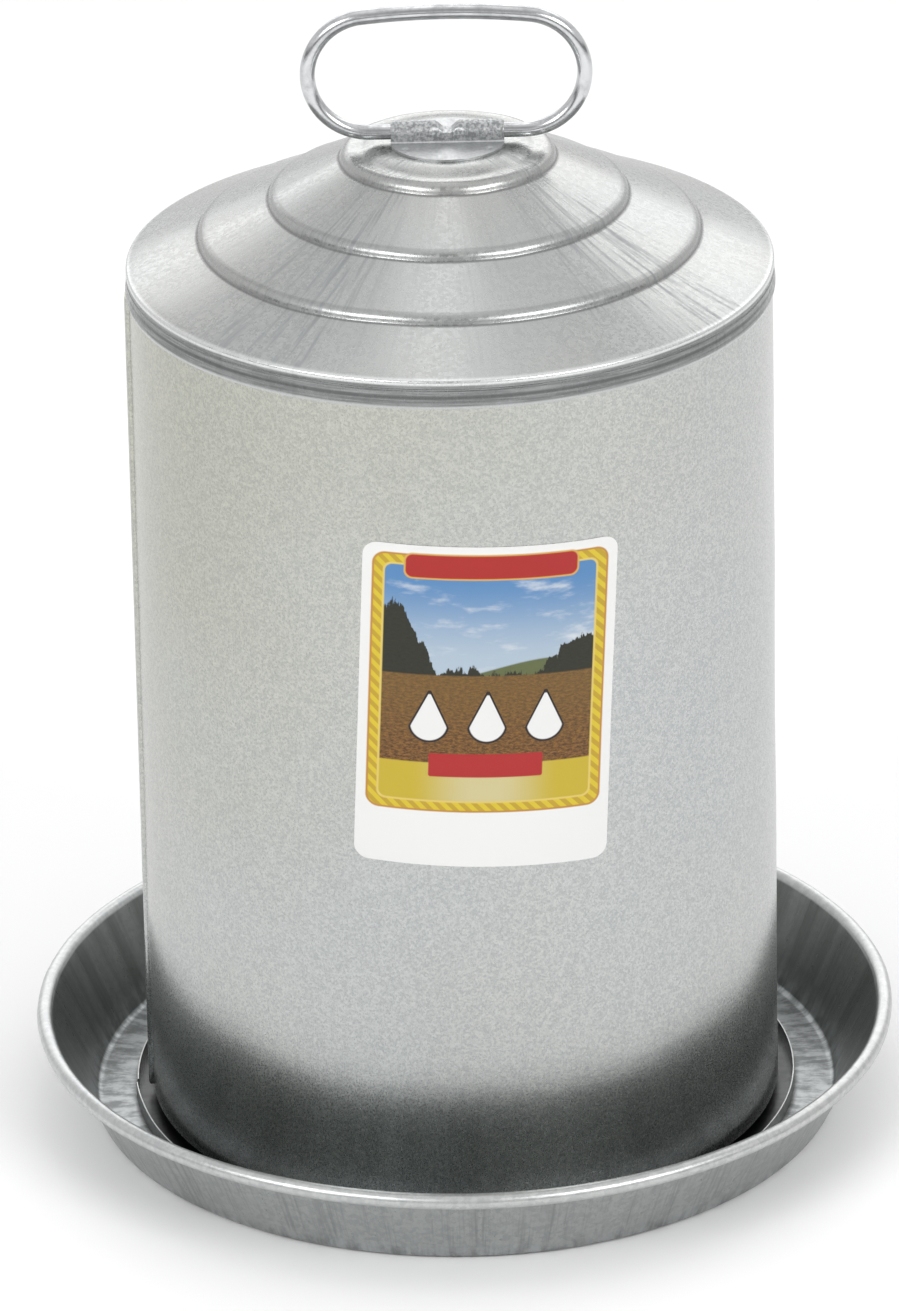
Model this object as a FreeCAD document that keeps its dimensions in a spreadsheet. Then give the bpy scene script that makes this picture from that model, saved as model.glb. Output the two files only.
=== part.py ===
import FreeCAD, Part
import math
import os
import re
import Sketcher

# Double-walled galvanised poultry waterer. +Z is up, the front is toward -Y, and the origin is the
# middle of the face that the drinking pan stands on. All lengths are millimetres, angles are degrees.

DRIVING = {
    # steel
    "SteelSheet": 0.55,
    "SheetOffset": 0.42,
    # drinking pan
    "PanFloorRadius": 135.0,
    "PanCorner": 3.5,
    "PanFlare": 64.5,
    "PanRimRadius": 155.8,
    "PanTop": 35.3,
    "PanBead": 2.8,
    "PanCurl": 40.0,
    # ring that centres the cover
    "RingRadius": 120.1,
    "RingTop": 5.6,
    "RingStrip": 0.6,
    "RingGap": 2.5,
    "RingGapTurn": 183.3,
    "RingEndTurn": 8.0,
    "RingEndKick": 0.5,
    "RingKickShare": 0.3,
    # rests that carry the edge of the cover
    "RestWidth": 12.0,
    "RestInner": 110.9,
    "RestOuter": 117.6,
    "RestSheet": 0.8,
    "RestGap": 0.1,
    "RestFootShare": 0.45,
    # tank
    "TankRadius": 108.05,
    "TankFloor": 6.0,
    "TankTop": 318.0,
    "TankBead": 2.0,
    "TankSolder": 1.7,
    # outer shell
    "ShellFootRadius": 114.3,
    "ShellTopRadius": 112.4,
    "ShellFoot": 5.0,
    "ShellTop": 321.5,
    "ShellHem": 6.0,
    "SeamWidth": 7.0,
    "SeamProud": 1.6,
    "SeamCorner": 0.7,
    "SeamSink": 0.7,
    "SeamTurn": 183.0,
    # stepped dome
    "SkirtRadius": 113.2,
    "SkirtFoot": 313.6,
    "SkirtHem": 3.4,
    "SkirtHemRound": 1.1,
    "RimHeight": 324.0,
    "RimRound": 1.2,
    "RimSlope": 22.0,
    "FirstStepRadius": 87.9,
    "FirstStepHeight": 333.7,
    "SecondStepRadius": 62.9,
    "SecondStepHeight": 346.9,
    "ThirdStepRadius": 37.8,
    "ThirdStepHeight": 361.3,
    "NoseRadius": 2.4,
    "NoseFoot": 1.3,
    "StepRiser": 75.0,
    "FirstSlope": 24.0,
    "SecondSlope": 26.0,
    "ThirdSlope": 4.0,
    "CrownHeight": 366.8,
    "CrownFlat": 21.5,
    "CrownShoulder": 22.3,
    "CrownEdgeRadius": 30.5,
    "CrownEdgeHeight": 364.9,
    "DomeSolder": 1.5,
    "DomeSolderRise": 0.6,
    "DomeSolderDrop": 3.0,
    "DomeSolderLap": 0.5,
    # handle and its bracket
    "WireRadius": 2.65,
    "HandleAxisHeight": 370.65,
    "HandleStraight": 26.75,
    "HandleEndRadius": 21.2,
    "HandleArch": 6.0,
    "WireEndGap": 4.5,
    "BracketSheet": 0.9,
    "BracketRadius": 20.5,
    "TunnelHalfLength": 19.6,
    "TunnelRadius": 3.0,
    "CrimpTop": 3.6,
    "CrimpFoot": 1.6,
    "CrimpHeight": 371.5,
    # label
    "LabelWidth": 87.5,
    "LabelHeight": 122.0,
    "LabelThick": 0.15,
    "LabelLift": 0.1,
    "LabelCorner": 6.0,
    "LabelMiddle": 199.8,
    "LabelTurn": 5.3,
    "LabelLean": 3.5,
    # water valve behind the cover
    "ValveHeight": 14.0,
    "ValveBore": 4.0,
    "SeatRadius": 6.5,
    "SeatFlange": 0.6,
    "PadRadius": 5.5,
    "PadThick": 1.5,
    "PivotHeight": 26.0,
    "PinRadius": 0.8,
    "PinFit": 0.05,
    "LeverWidth": 10.0,
    "LeverSheet": 0.8,
    "LeverLower": 17.0,
    "LeverUpper": 16.0,
    "LeverWindow": 3.0,
    "LeverFlange": 1.8,
    "LeverLap": 2.0,
    "OpenAngle": 5.7,
    "ForkSheet": 0.6,
    "ForkHalfWidth": 7.4,
    "ForkHeight": 8.0,
    "ForkRim": 2.0,
    "ForkReach": 1.6,
    "PinOverhang": 0.5,
    "RivetRadius": 1.0,
    "RivetHeadRadius": 2.0,
    "RivetHead": 0.5,
    "SpringWire": 0.3,
    "SpringRadius": 1.4,
    "SpringTurns": 4.0,
    "SpringPitch": 1.0,
    "CamWidth": 8.0,
    "CamHeight": 6.0,
    "CamSheet": 1.0,
    "CamGap": 0.3,
    "CamBack": 8.0,
    "CamSink": 0.6,
    # how far cutting tools run past what they cut
    "Past": 1.0,
}

doc = FreeCAD.newDocument("PoultryFount")
sheet = doc.addObject("Spreadsheet::Sheet", "Sizes")
for row, (alias, size) in enumerate(DRIVING.items(), start=1):
    sheet.set(f"A{row}", alias)
    sheet.set(f"B{row}", str(size))
    sheet.setAlias(f"B{row}", alias)
doc.recompute()

ALIAS = re.compile(r"\b(" + "|".join(DRIVING) + r")\b")
SUB_PARTS = []


def linked(formula):
    """The formula with every alias written as a cell of the sheet."""
    return ALIAS.sub(r"Sizes.\1", formula)


def size(formula):
    """The number that a formula of aliases gives."""
    return float(sheet.evalExpression(linked(formula)))


def bind(item, **formulas):
    for name, formula in formulas.items():
        item.setExpression(name.replace("__", "."), linked(formula))


def sub_part(item, label):
    """Names a finished piece; its label is also its file's name."""
    item.Label = label
    SUB_PARTS.append(item)
    return item


def origin_plane(body, role):
    return next(plane for plane in body.Origin.OriginFeatures if plane.Role == role)


def body_with(name):
    return doc.addObject("PartDesign::Body", name)


def arc_centre(start, end, radius, turn, large):
    """Centre of the arc from start to end that turns left (+1) or right (-1)."""
    half = (end - start) * 0.5
    reach = math.sqrt(max(radius ** 2 - half.Length ** 2, 0.0))
    left = FreeCAD.Vector(-half.y, half.x, 0).normalize()
    side = turn if not large else -turn
    return start + half + left * (reach * side)


def outline(body, name, role, start, steps, closed=True):
    """A sketch whose corners and radii are bound to the sheet.

    Each step is (x, y) for a line, or (x, y, radius, turn) or (x, y, radius, turn, large) for an arc.
    """
    sketch = body.newObject("Sketcher::SketchObject", name)
    sketch.AttachmentSupport = (origin_plane(body, role), "")
    sketch.MapMode = "FlatFace"
    corners = [start] + [step[:2] for step in steps]
    places = [FreeCAD.Vector(size(x), size(y), 0) for x, y in corners]
    ends = []
    for index, step in enumerate(steps):
        here, there = places[index], places[index + 1]
        if len(step) == 2:
            sketch.addGeometry(Part.LineSegment(here, there))
            ends.append((1, 2))
            continue
        radius, turn = size(step[2]), step[3]
        centre = arc_centre(here, there, radius, turn, len(step) > 4)
        first, last = (here, there) if turn > 0 else (there, here)
        angles = [math.atan2(end.y - centre.y, end.x - centre.x) for end in (first, last)]
        circle = Part.Circle(centre, FreeCAD.Vector(0, 0, 1), radius)
        sketch.addGeometry(Part.ArcOfCircle(circle, angles[0], angles[1]))
        ends.append((1, 2) if turn > 0 else (2, 1))
    for index in range(1, len(steps)):
        sketch.addConstraint(
            Sketcher.Constraint("Coincident", index - 1, ends[index - 1][1], index, ends[index][0])
        )
    if closed:
        last = len(steps) - 1
        sketch.addConstraint(Sketcher.Constraint("Coincident", last, ends[last][1], 0, ends[0][0]))
    for index, step in enumerate(steps):
        hold_point(sketch, index, ends[index][1], step[0], step[1])
        if len(step) > 2:
            number = sketch.addConstraint(Sketcher.Constraint("Radius", index, size(step[2])))
            sketch.setExpression(f"Constraints[{number}]", linked(step[2]))
    if not closed:
        hold_point(sketch, 0, ends[0][0], *start)
    return sketch


def hold_point(sketch, edge, end, x, y):
    """Fixes one end of an edge at a place given by two formulas."""
    for kind, formula, axis in (("DistanceX", x, -2), ("DistanceY", y, -1)):
        if formula == "0":
            sketch.addConstraint(Sketcher.Constraint("PointOnObject", edge, end, axis))
            continue
        number = sketch.addConstraint(Sketcher.Constraint(kind, -1, 1, edge, end, size(formula)))
        sketch.setExpression(f"Constraints[{number}]", linked(formula))


def turned(name, start, steps):
    """A body of revolution about Z; its outline is drawn in radius and height."""
    body = body_with(name)
    sketch = outline(body, name + "Outline", "XZ_Plane", start, steps)
    revolution = body.newObject("PartDesign::Revolution", name + "Turn")
    revolution.Profile = sketch
    revolution.ReferenceAxis = (sketch, ["V_Axis"])
    revolution.Angle = 360.0
    sketch.Visibility = False
    return body


def cylinder(name, radius, height, x="0", y="0", z="0", along=None):
    item = doc.addObject("Part::Cylinder", name)
    bind(item, Radius=radius, Height=height)
    bind(item, Placement__Base__x=x, Placement__Base__y=y, Placement__Base__z=z)
    if along == "X":
        item.Placement.Rotation = FreeCAD.Rotation(FreeCAD.Vector(0, 1, 0), 90)
    if along == "Y":
        item.Placement.Rotation = FreeCAD.Rotation(FreeCAD.Vector(1, 0, 0), -90)
    return item


def block(name, length, width, height, x, y, z):
    """A box whose x, y and z are its lowest corner."""
    item = doc.addObject("Part::Box", name)
    bind(item, Length=length, Width=width, Height=height)
    bind(item, Placement__Base__x=x, Placement__Base__y=y, Placement__Base__z=z)
    return item


def cone(name, foot_radius, top_radius, height, z):
    item = doc.addObject("Part::Cone", name)
    bind(item, Radius1=foot_radius, Radius2=top_radius, Height=height, Placement__Base__z=z)
    return item


def cut(name, base, tool):
    item = doc.addObject("Part::Cut", name)
    item.Base = base
    item.Tool = tool
    return item


def common(name, base, tool):
    item = doc.addObject("Part::Common", name)
    item.Base = base
    item.Tool = tool
    return item


def fused(name, pieces):
    item = doc.addObject("Part::MultiFuse", name)
    item.Shapes = pieces
    item.Refine = True
    return item


def group(name, pieces):
    """Identical separate solids that share one node."""
    item = doc.addObject("Part::Compound", name)
    item.Links = pieces
    return item


def about_z(name, piece, angle):
    """A copy of a piece turned about the fount's own axis."""
    item = doc.addObject("Part::Compound", name)
    item.Links = [piece]
    item.Placement = FreeCAD.Placement(
        FreeCAD.Vector(0, 0, 0), FreeCAD.Rotation(FreeCAD.Vector(0, 0, 1), angle)
    )
    return item


# ---- base: pan, ring, rests and tank ------------------------------------------------------------


def make_drinking_pan():
    """A drawn pan: flat floor, flared wall and an open curl rolled outward at the rim."""
    corner = "PanCorner * tan(PanFlare / 2)"
    bead_x = "(PanRimRadius - PanBead)"
    bead_z = "(PanTop - PanBead)"
    inside = "(PanBead - SteelSheet)"
    curl_cos = "cos(180 + PanCurl)"
    curl_sin = "sin(180 + PanCurl)"
    lift = "(PanCorner - SteelSheet)"
    middle = f"(PanFloorRadius - {corner})"
    steps = [
        (f"PanFloorRadius - {corner}", "0"),
        (
            f"PanFloorRadius + {corner} * cos(PanFlare)",
            f"{corner} * sin(PanFlare)",
            "PanCorner",
            1,
        ),
        (f"{bead_x} - {inside} * sin(PanFlare)", f"{bead_z} + {inside} * cos(PanFlare)"),
        (
            f"{bead_x} + {inside} * {curl_cos}",
            f"{bead_z} + {inside} * {curl_sin}",
            inside,
            -1,
            True,
        ),
        (f"{bead_x} + PanBead * {curl_cos}", f"{bead_z} + PanBead * {curl_sin}"),
        (
            f"{bead_x} - PanBead * sin(PanFlare)",
            f"{bead_z} + PanBead * cos(PanFlare)",
            "PanBead",
            1,
            True,
        ),
        (f"{middle} + {lift} * sin(PanFlare)", f"PanCorner - {lift} * cos(PanFlare)"),
        (middle, "SteelSheet", lift, -1),
        ("0", "SteelSheet"),
        ("0", "0"),
    ]
    sub_part(turned("Pan", ("0", "0"), steps), "drinking_pan")


def make_locating_ring():
    """A strip on edge that stands on the pan floor round the cover; one free end is bent outward."""
    radius, strip = size("RingRadius"), size("RingStrip")
    foot, top = size("SteelSheet"), size("RingTop")
    gap_turn = size("RingGap") / radius
    start = math.radians(size("RingGapTurn")) + gap_turn / 2
    kick, kick_turn = size("RingEndKick"), math.radians(size("RingEndTurn"))
    bow = size("RingKickShare")

    def at(distance, angle):
        return FreeCAD.Vector(distance * math.cos(angle), distance * math.sin(angle), foot)

    faces = []
    for distance in (radius, radius - strip):
        bent = Part.Arc(
            at(distance + kick, start),
            at(distance + kick * bow, start + kick_turn * 0.5),
            at(distance, start + kick_turn),
        )
        end = start + 2 * math.pi - gap_turn
        main = Part.Arc(
            at(distance, start + kick_turn), at(distance, (start + end) / 2), at(distance, end)
        )
        faces.append((bent, main))
    (bent_out, main_out), (bent_in, main_in) = faces
    closing = [
        Part.LineSegment(main_out.EndPoint, main_in.EndPoint),
        Part.LineSegment(bent_out.StartPoint, bent_in.StartPoint),
    ]
    edges = [curve.toShape() for curve in (bent_out, main_out, main_in, bent_in, *closing)]
    wire = Part.Wire(Part.__sortEdges__(edges))
    item = doc.addObject("Part::Feature", "Ring")
    item.Shape = Part.Face(wire).extrude(FreeCAD.Vector(0, 0, top - foot))
    sub_part(item, "locating_ring")


def make_cover_rests():
    """Three bent clips on the pan floor; the edge of the cover stands on their shelves."""
    turns = (30, 150, 270)
    depth = "(RestOuter - RestInner)"
    top = "(ShellFoot - RestGap)"
    shelf = block(
        "RestShelf", depth, "RestWidth", "RestSheet", "RestInner", "-RestWidth / 2", f"{top} - RestSheet"
    )
    leg = block(
        "RestLeg",
        "RestSheet",
        "RestWidth",
        f"{top} - SteelSheet",
        "RestOuter - RestSheet",
        "-RestWidth / 2",
        "SteelSheet",
    )
    foot = block(
        "RestFoot",
        f"{depth} * RestFootShare",
        "RestWidth",
        "RestSheet",
        f"RestOuter - {depth} * RestFootShare",
        "-RestWidth / 2",
        "SteelSheet",
    )
    clip = fused("RestClip", [shelf, leg, foot])
    clips = [about_z(f"RestAt{turn}", clip, turn) for turn in turns]
    sub_part(group("Rests", clips), "cover_rests")


def make_tank_wall():
    """The inner tank's side, with its rim rolled inward and the valve's hole near the foot."""
    inner = "(TankRadius - SteelSheet)"
    bead = "TankBead"
    bead_inside = "(TankBead - SteelSheet)"
    steps = [
        ("TankRadius", "SteelSheet"),
        ("TankRadius", f"TankTop - {bead}"),
        (f"TankRadius - {bead}", f"TankTop - 2 * {bead}", bead, 1, True),
        (f"TankRadius - {bead}", f"TankTop - 2 * {bead} + SteelSheet"),
        (inner, f"TankTop - {bead}", bead_inside, -1, True),
        (inner, "SteelSheet"),
    ]
    wall = turned("TankSide", (inner, "SteelSheet"), steps)
    hole = cylinder(
        "TankHole", "ValveBore + SteelSheet", "SteelSheet + TankBead + 2 * Past",
        y="TankRadius - SteelSheet - TankBead - Past", z="ValveHeight", along="Y",
    )
    sub_part(cut("TankWall", wall, hole), "tank_wall")


def make_tank_bottom():
    """A flanged disc let into the foot of the tank."""
    inner = "(TankRadius - SteelSheet - PinFit)"
    steps = [
        (inner, "SteelSheet"),
        (inner, "TankFloor"),
        ("0", "TankFloor"),
        ("0", "TankFloor - SteelSheet"),
        (f"{inner} - SteelSheet", "TankFloor - SteelSheet"),
        (f"{inner} - SteelSheet", "SteelSheet"),
    ]
    sub_part(turned("TankFloorDisc", (f"{inner} - SteelSheet", "SteelSheet"), steps), "tank_bottom")


def make_tank_solder():
    """The fillet of solder that joins the tank to the pan."""
    steps = [
        ("TankRadius + TankSolder", "SteelSheet"),
        ("TankRadius", "SteelSheet + TankSolder"),
        ("TankRadius", "SteelSheet"),
    ]
    sub_part(turned("TankSolderRing", ("TankRadius", "SteelSheet"), steps), "tank_solder")


# ---- water valve ----------------------------------------------------------------------------------

PAD_DROP = "(ValveHeight - PivotHeight)"

PIVOT_DEPTH = "(TankRadius + SeatFlange + PinFit + PadThick + LeverSheet / 2)"


def on_pivot(item):
    """Puts a piece that is drawn round the pivot in its open place."""
    item.Placement.Rotation = FreeCAD.Rotation(FreeCAD.Vector(1, 0, 0), size("OpenAngle"))
    bind(item, Placement__Base__y=PIVOT_DEPTH, Placement__Base__z="PivotHeight")
    bind(item, Placement__Rotation__Angle="OpenAngle")


def make_valve_seat():
    """An eyelet through the tank wall that the rubber pad closes on."""
    barrel = cylinder(
        "SeatBarrel", "ValveBore", "SteelSheet + 2 * SeatFlange", y="TankRadius - SteelSheet - SeatFlange",
        z="ValveHeight", along="Y",
    )
    flange = cylinder("SeatFace", "SeatRadius", "SeatFlange", y="TankRadius", z="ValveHeight", along="Y")
    bore = cylinder(
        "SeatBore", "ValveBore - SeatFlange", "SteelSheet + 2 * (SeatFlange + Past)",
        y="TankRadius - SteelSheet - SeatFlange - Past", z="ValveHeight", along="Y",
    )
    sub_part(cut("Seat", fused("SeatSolid", [barrel, flange]), bore), "valve_seat")


def make_valve_lever():
    """A stamped rocker: a web in two lengths held together by two flanges that ride on the pin."""
    half = "LeverWidth / 2"
    lower = block(
        "LeverLowerWeb", "LeverWidth", "LeverSheet", "LeverLower - LeverWindow",
        f"-{half}", "-LeverSheet / 2", "-LeverLower",
    )
    upper = block(
        "LeverUpperWeb", "LeverWidth", "LeverSheet", "LeverUpper - LeverWindow",
        f"-{half}", "-LeverSheet / 2", "LeverWindow",
    )
    flanges = [
        block(
            f"LeverFlange{side}", "LeverSheet", "LeverSheet + LeverFlange", "2 * (LeverWindow + LeverLap)",
            place, "-LeverSheet / 2 - LeverFlange / 2", "-LeverWindow - LeverLap",
        )
        for side, place in (("Left", f"-{half}"), ("Right", f"{half} - LeverSheet"))
    ]
    hole = cylinder(
        "LeverHole", "PinRadius + PinFit", "LeverWidth + 2 * Past", x=f"-{half} - Past", along="X"
    )
    rivet_hole = cylinder(
        "LeverRivetHole", "RivetRadius", "LeverSheet + 2 * Past",
        y="-LeverSheet / 2 - Past", z=PAD_DROP, along="Y",
    )
    holes = fused("LeverHoles", [hole, rivet_hole])
    lever = cut("Lever", fused("LeverSolid", [lower, upper, *flanges]), holes)
    on_pivot(lever)
    sub_part(lever, "valve_lever")


def make_valve_pad():
    """The rubber disc under the lower end of the lever, and the rivet that holds it."""
    face = "(-LeverSheet / 2)"
    disc = cylinder("PadDisc", "PadRadius", "PadThick", y=f"{face} - PadThick", z=PAD_DROP, along="Y")
    hole = cylinder(
        "PadHole", "RivetRadius", "PadThick + 2 * Past", y=f"{face} - PadThick - Past", z=PAD_DROP, along="Y"
    )
    recess = cylinder(
        "PadRecess", "RivetHeadRadius", "2 * RivetHead",
        y=f"{face} - PadThick - RivetHead", z=PAD_DROP, along="Y",
    )
    pad = cut("Pad", disc, fused("PadHoles", [hole, recess]))
    on_pivot(pad)
    sub_part(pad, "valve_pad")
    shank = cylinder(
        "RivetShank", "RivetRadius", "PadThick + LeverSheet", y=f"{face} - PadThick", z=PAD_DROP, along="Y"
    )
    inner_head = cylinder(
        "RivetInnerHead", "RivetHeadRadius", "RivetHead", y=f"{face} - PadThick", z=PAD_DROP, along="Y"
    )
    outer_head = cylinder(
        "RivetOuterHead", "RivetHeadRadius", "RivetHead", y="LeverSheet / 2", z=PAD_DROP, along="Y"
    )
    rivet = fused("Rivet", [shank, inner_head, outer_head])
    on_pivot(rivet)
    sub_part(rivet, "pad_rivet")


def make_valve_fork():
    """The bracket on the tank wall that carries the pivot pin."""
    half = "ForkHalfWidth"
    low = "PivotHeight - ForkHeight / 2"
    plate = block("ForkPlateBox", f"2 * {half}", "ForkSheet", "ForkHeight", f"-{half}", "TankRadius", low)
    window = block(
        "ForkWindow", "2 * (SpringRadius + ForkRim)", "ForkSheet + 2 * Past", "ForkHeight - 2 * ForkRim",
        "-SpringRadius - ForkRim", "TankRadius - Past", f"{low} + ForkRim",
    )
    ears = [
        block(
            f"ForkEar{side}", "ForkSheet", "LeverSheet / 2 + PadThick + SeatFlange + ForkReach",
            "ForkHeight", place, "TankRadius", low,
        )
        for side, place in (("Left", f"-{half}"), ("Right", f"{half} - ForkSheet"))
    ]
    hole = cylinder(
        "ForkHole", "PinRadius", f"2 * ({half} + Past)", x=f"-{half} - Past", y=PIVOT_DEPTH,
        z="PivotHeight", along="X",
    )
    solid = fused("ForkSolid", [cut("ForkPlateCut", plate, window), *ears])
    sub_part(cut("Fork", solid, hole), "valve_fork")
    pin = cylinder(
        "PinRod", "PinRadius", f"2 * ({half} + PinOverhang)", x=f"-{half} - PinOverhang", y=PIVOT_DEPTH,
        z="PivotHeight", along="X",
    )
    sub_part(pin, "pivot_pin")


def make_valve_spring():
    """A torsion spring of round wire wound on the pivot pin."""
    coil, wire = size("SpringRadius"), size("SpringWire")
    pitch, turns = size("SpringPitch"), size("SpringTurns")
    helix = Part.makeHelix(pitch, pitch * turns, coil)
    section = Part.Wire(Part.Circle(FreeCAD.Vector(coil, 0, 0), FreeCAD.Vector(0, 1, 0), wire).toShape())
    item = doc.addObject("Part::Feature", "Spring")
    item.Shape = Part.Wire(helix).makePipeShell([section], True, True)
    across = FreeCAD.Rotation(FreeCAD.Vector(0, 1, 0), 90)
    item.Placement = FreeCAD.Placement(
        FreeCAD.Vector(-pitch * turns / 2, size(PIVOT_DEPTH), size("PivotHeight")), across
    )
    sub_part(item, "valve_spring")


# ---- cover ------------------------------------------------------------------------------------------


def make_outer_shell():
    """The outer wall: a slightly tapered sheet with a folded foot and an outside lock seam."""
    hem = "(ShellFootRadius - 2 * SteelSheet)"
    steps = [
        ("ShellFootRadius", "ShellFoot"),
        ("ShellTopRadius", "ShellTop"),
        ("ShellTopRadius - SteelSheet", "ShellTop"),
        ("ShellFootRadius - SteelSheet", "ShellFoot + ShellHem"),
        (hem, "ShellFoot + ShellHem"),
        (hem, "ShellFoot"),
    ]
    wall = turned("ShellWall", (hem, "ShellFoot"), steps)
    seam = body_with("ShellSeam")
    side = "SeamWidth / 2"
    section = [
        ("SeamProud - SeamCorner", f"-{side}"),
        ("SeamProud", f"-{side} + SeamCorner", "SeamCorner", 1),
        ("SeamProud", f"{side} - SeamCorner"),
        ("SeamProud - SeamCorner", side, "SeamCorner", 1),
        ("-SteelSheet * SeamSink", side),
        ("-SteelSheet * SeamSink", f"-{side}"),
    ]
    profile = outline(seam, "SeamOutline", "XY_Plane", ("-SteelSheet * SeamSink", f"-{side}"), section)
    pad = seam.newObject("PartDesign::Pad", "SeamPad")
    pad.Profile = profile
    bind(pad, Length="SkirtFoot - ShellFoot")
    turn = math.radians(size("SeamTurn"))
    lean = math.degrees(
        math.atan2(size("ShellFootRadius - ShellTopRadius"), size("ShellTop - ShellFoot"))
    )
    spin = FreeCAD.Rotation(FreeCAD.Vector(0, 0, 1), size("SeamTurn"))
    tilt = FreeCAD.Rotation(FreeCAD.Vector(0, 1, 0), -lean)
    seam.Placement = FreeCAD.Placement(
        FreeCAD.Vector(math.cos(turn), math.sin(turn), 0) * size("ShellFootRadius")
        + FreeCAD.Vector(0, 0, size("ShellFoot")),
        spin * tilt,
    )
    sub_part(fused("Shell", [wall, seam]), "outer_shell")


def nose(radius, height, slope):
    """The rounded drop at a step: the points where it leaves the cone above and meets the riser."""
    foot = (f"{radius} - NoseFoot / tan(StepRiser)", f"{height} + NoseFoot")
    top = (
        f"{foot[0]} - NoseRadius * (sin(StepRiser) - sin({slope}))",
        f"{foot[1]} + NoseRadius * (cos({slope}) - cos(StepRiser))",
    )
    return top, foot


def make_dome_top():
    """The stepped top: a flat crown, three rounded drops, three cones and a skirt over the shell."""
    first = nose("FirstStepRadius", "FirstStepHeight", "FirstSlope")
    second = nose("SecondStepRadius", "SecondStepHeight", "SecondSlope")
    third = nose("ThirdStepRadius", "ThirdStepHeight", "ThirdSlope")
    rim_in = ("SkirtRadius - RimRound * (1 - sin(RimSlope))", "RimHeight")
    rim_out = ("SkirtRadius", "RimHeight - RimRound * cos(RimSlope)")
    surface = [
        ("CrownFlat", "CrownHeight"),
        ("CrownEdgeRadius", "CrownEdgeHeight", "CrownShoulder", -1),
        third[0],
        (*third[1], "NoseRadius", -1),
        ("ThirdStepRadius", "ThirdStepHeight"),
        second[0],
        (*second[1], "NoseRadius", -1),
        ("SecondStepRadius", "SecondStepHeight"),
        first[0],
        (*first[1], "NoseRadius", -1),
        ("FirstStepRadius", "FirstStepHeight"),
        rim_in,
        (*rim_out, "RimRound", -1),
    ]
    under = lowered(surface)
    hem = [
        ("SkirtRadius", "SkirtFoot + SkirtHem"),
        ("SkirtRadius", "SkirtFoot", "SkirtHem * SkirtHemRound", -1),
        ("SkirtRadius - SteelSheet", "SkirtFoot"),
        ("SkirtRadius - SteelSheet", "RimHeight - RimRound * cos(RimSlope) - SheetOffset"),
    ]
    steps = surface + hem + under + [("0", "CrownHeight - SteelSheet"), ("0", "CrownHeight")]
    sub_part(turned("Dome", ("0", "CrownHeight"), steps), "dome_top")


def lowered(surface):
    """The underside of the sheet: the same outline moved in and down, and followed backwards."""
    path = []
    for index in range(len(surface) - 2, -1, -1):
        radius, height = surface[index][:2]
        point = (f"{radius} - SheetOffset", f"{height} - SheetOffset")
        following = surface[index + 1]
        if len(following) > 2 and index < len(surface) - 2:
            path.append((*point, following[2], -following[3]))
        else:
            path.append(point)
    return path


def make_dome_solder():
    """The bead of solder inside the joint between dome and shell."""
    inner = "(ShellTopRadius - SteelSheet - PinFit)"
    steps = [
        (inner, "ShellTop - DomeSolderLap"),
        (f"{inner} - DomeSolder", "ShellTop + DomeSolderRise"),
        (inner, "ShellTop - DomeSolderDrop"),
    ]
    sub_part(turned("DomeSolderRing", (inner, "ShellTop - DomeSolderDrop"), steps), "dome_solder")


def crimp_prism(name, grow, depth):
    """The wedge pressed into the middle of the tunnel, grown by the thickness of the sheet."""
    body = body_with(name)
    top = "HandleAxisHeight + TunnelRadius + BracketSheet + Past"
    slope = f"((CrimpTop - CrimpFoot) / ({top} - CrimpHeight))"
    foot = f"(CrimpFoot + {grow})"
    head = f"(CrimpTop + {slope} + {grow})"
    low = f"CrimpHeight - {grow}"
    steps = [(foot, low), (head, top), (f"-{head}", top), (f"-{foot}", low)]
    sketch = outline(body, name + "Outline", "XZ_Plane", (f"-{foot}", low), steps)
    pad = body.newObject("PartDesign::Pad", name + "Pad")
    pad.Profile = sketch
    pad.Midplane = True
    bind(pad, Length=depth)
    return body


def make_handle_bracket():
    """A round plate with a tunnel pressed across it and a crimp that keeps the two wire ends apart."""
    base = "CrownHeight + PinFit"
    axis = "HandleAxisHeight"
    wide = "(TunnelRadius + BracketSheet)"
    plate = cylinder("BracketDisc", "BracketRadius", "BracketSheet", z=base)
    arch = cylinder("TunnelArch", wide, "2 * TunnelHalfLength", x="-TunnelHalfLength", z=axis, along="X")
    legs = block(
        "TunnelLegs", "2 * TunnelHalfLength", f"2 * {wide}", f"{axis} - ({base})", "-TunnelHalfLength",
        f"-{wide}", base,
    )
    reach = "(BracketRadius + Past)"
    under = block(
        "TunnelUnderside", f"2 * {reach}", f"2 * {reach}", reach,
        f"-{reach}", f"-{reach}", f"{base} - {reach}",
    )
    bore = cylinder("TunnelBore", "TunnelRadius", f"2 * {reach}", x=f"-{reach}", z=axis, along="X")
    slot = block(
        "TunnelSlot", f"2 * {reach}", "2 * TunnelRadius", f"{axis} - ({base}) + Past",
        f"-{reach}", "-TunnelRadius", f"{base} - Past",
    )
    outside = cut("TunnelOutside", fused("TunnelSolid", [arch, legs]), under)
    hollow = fused("TunnelHollow", [bore, slot])
    saddle = cut("Saddle", fused("SaddleSolid", [plate, outside]), hollow)
    deep = f"2 * ({wide} + Past)"
    trough = common("CrimpTrough", crimp_prism("CrimpOuter", "BracketSheet", deep), outside)
    joined = fused("SaddleAndTrough", [saddle, trough])
    sub_part(cut("Bracket", joined, crimp_prism("CrimpInner", "0", f"{deep} + Past")), "handle_bracket")


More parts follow.
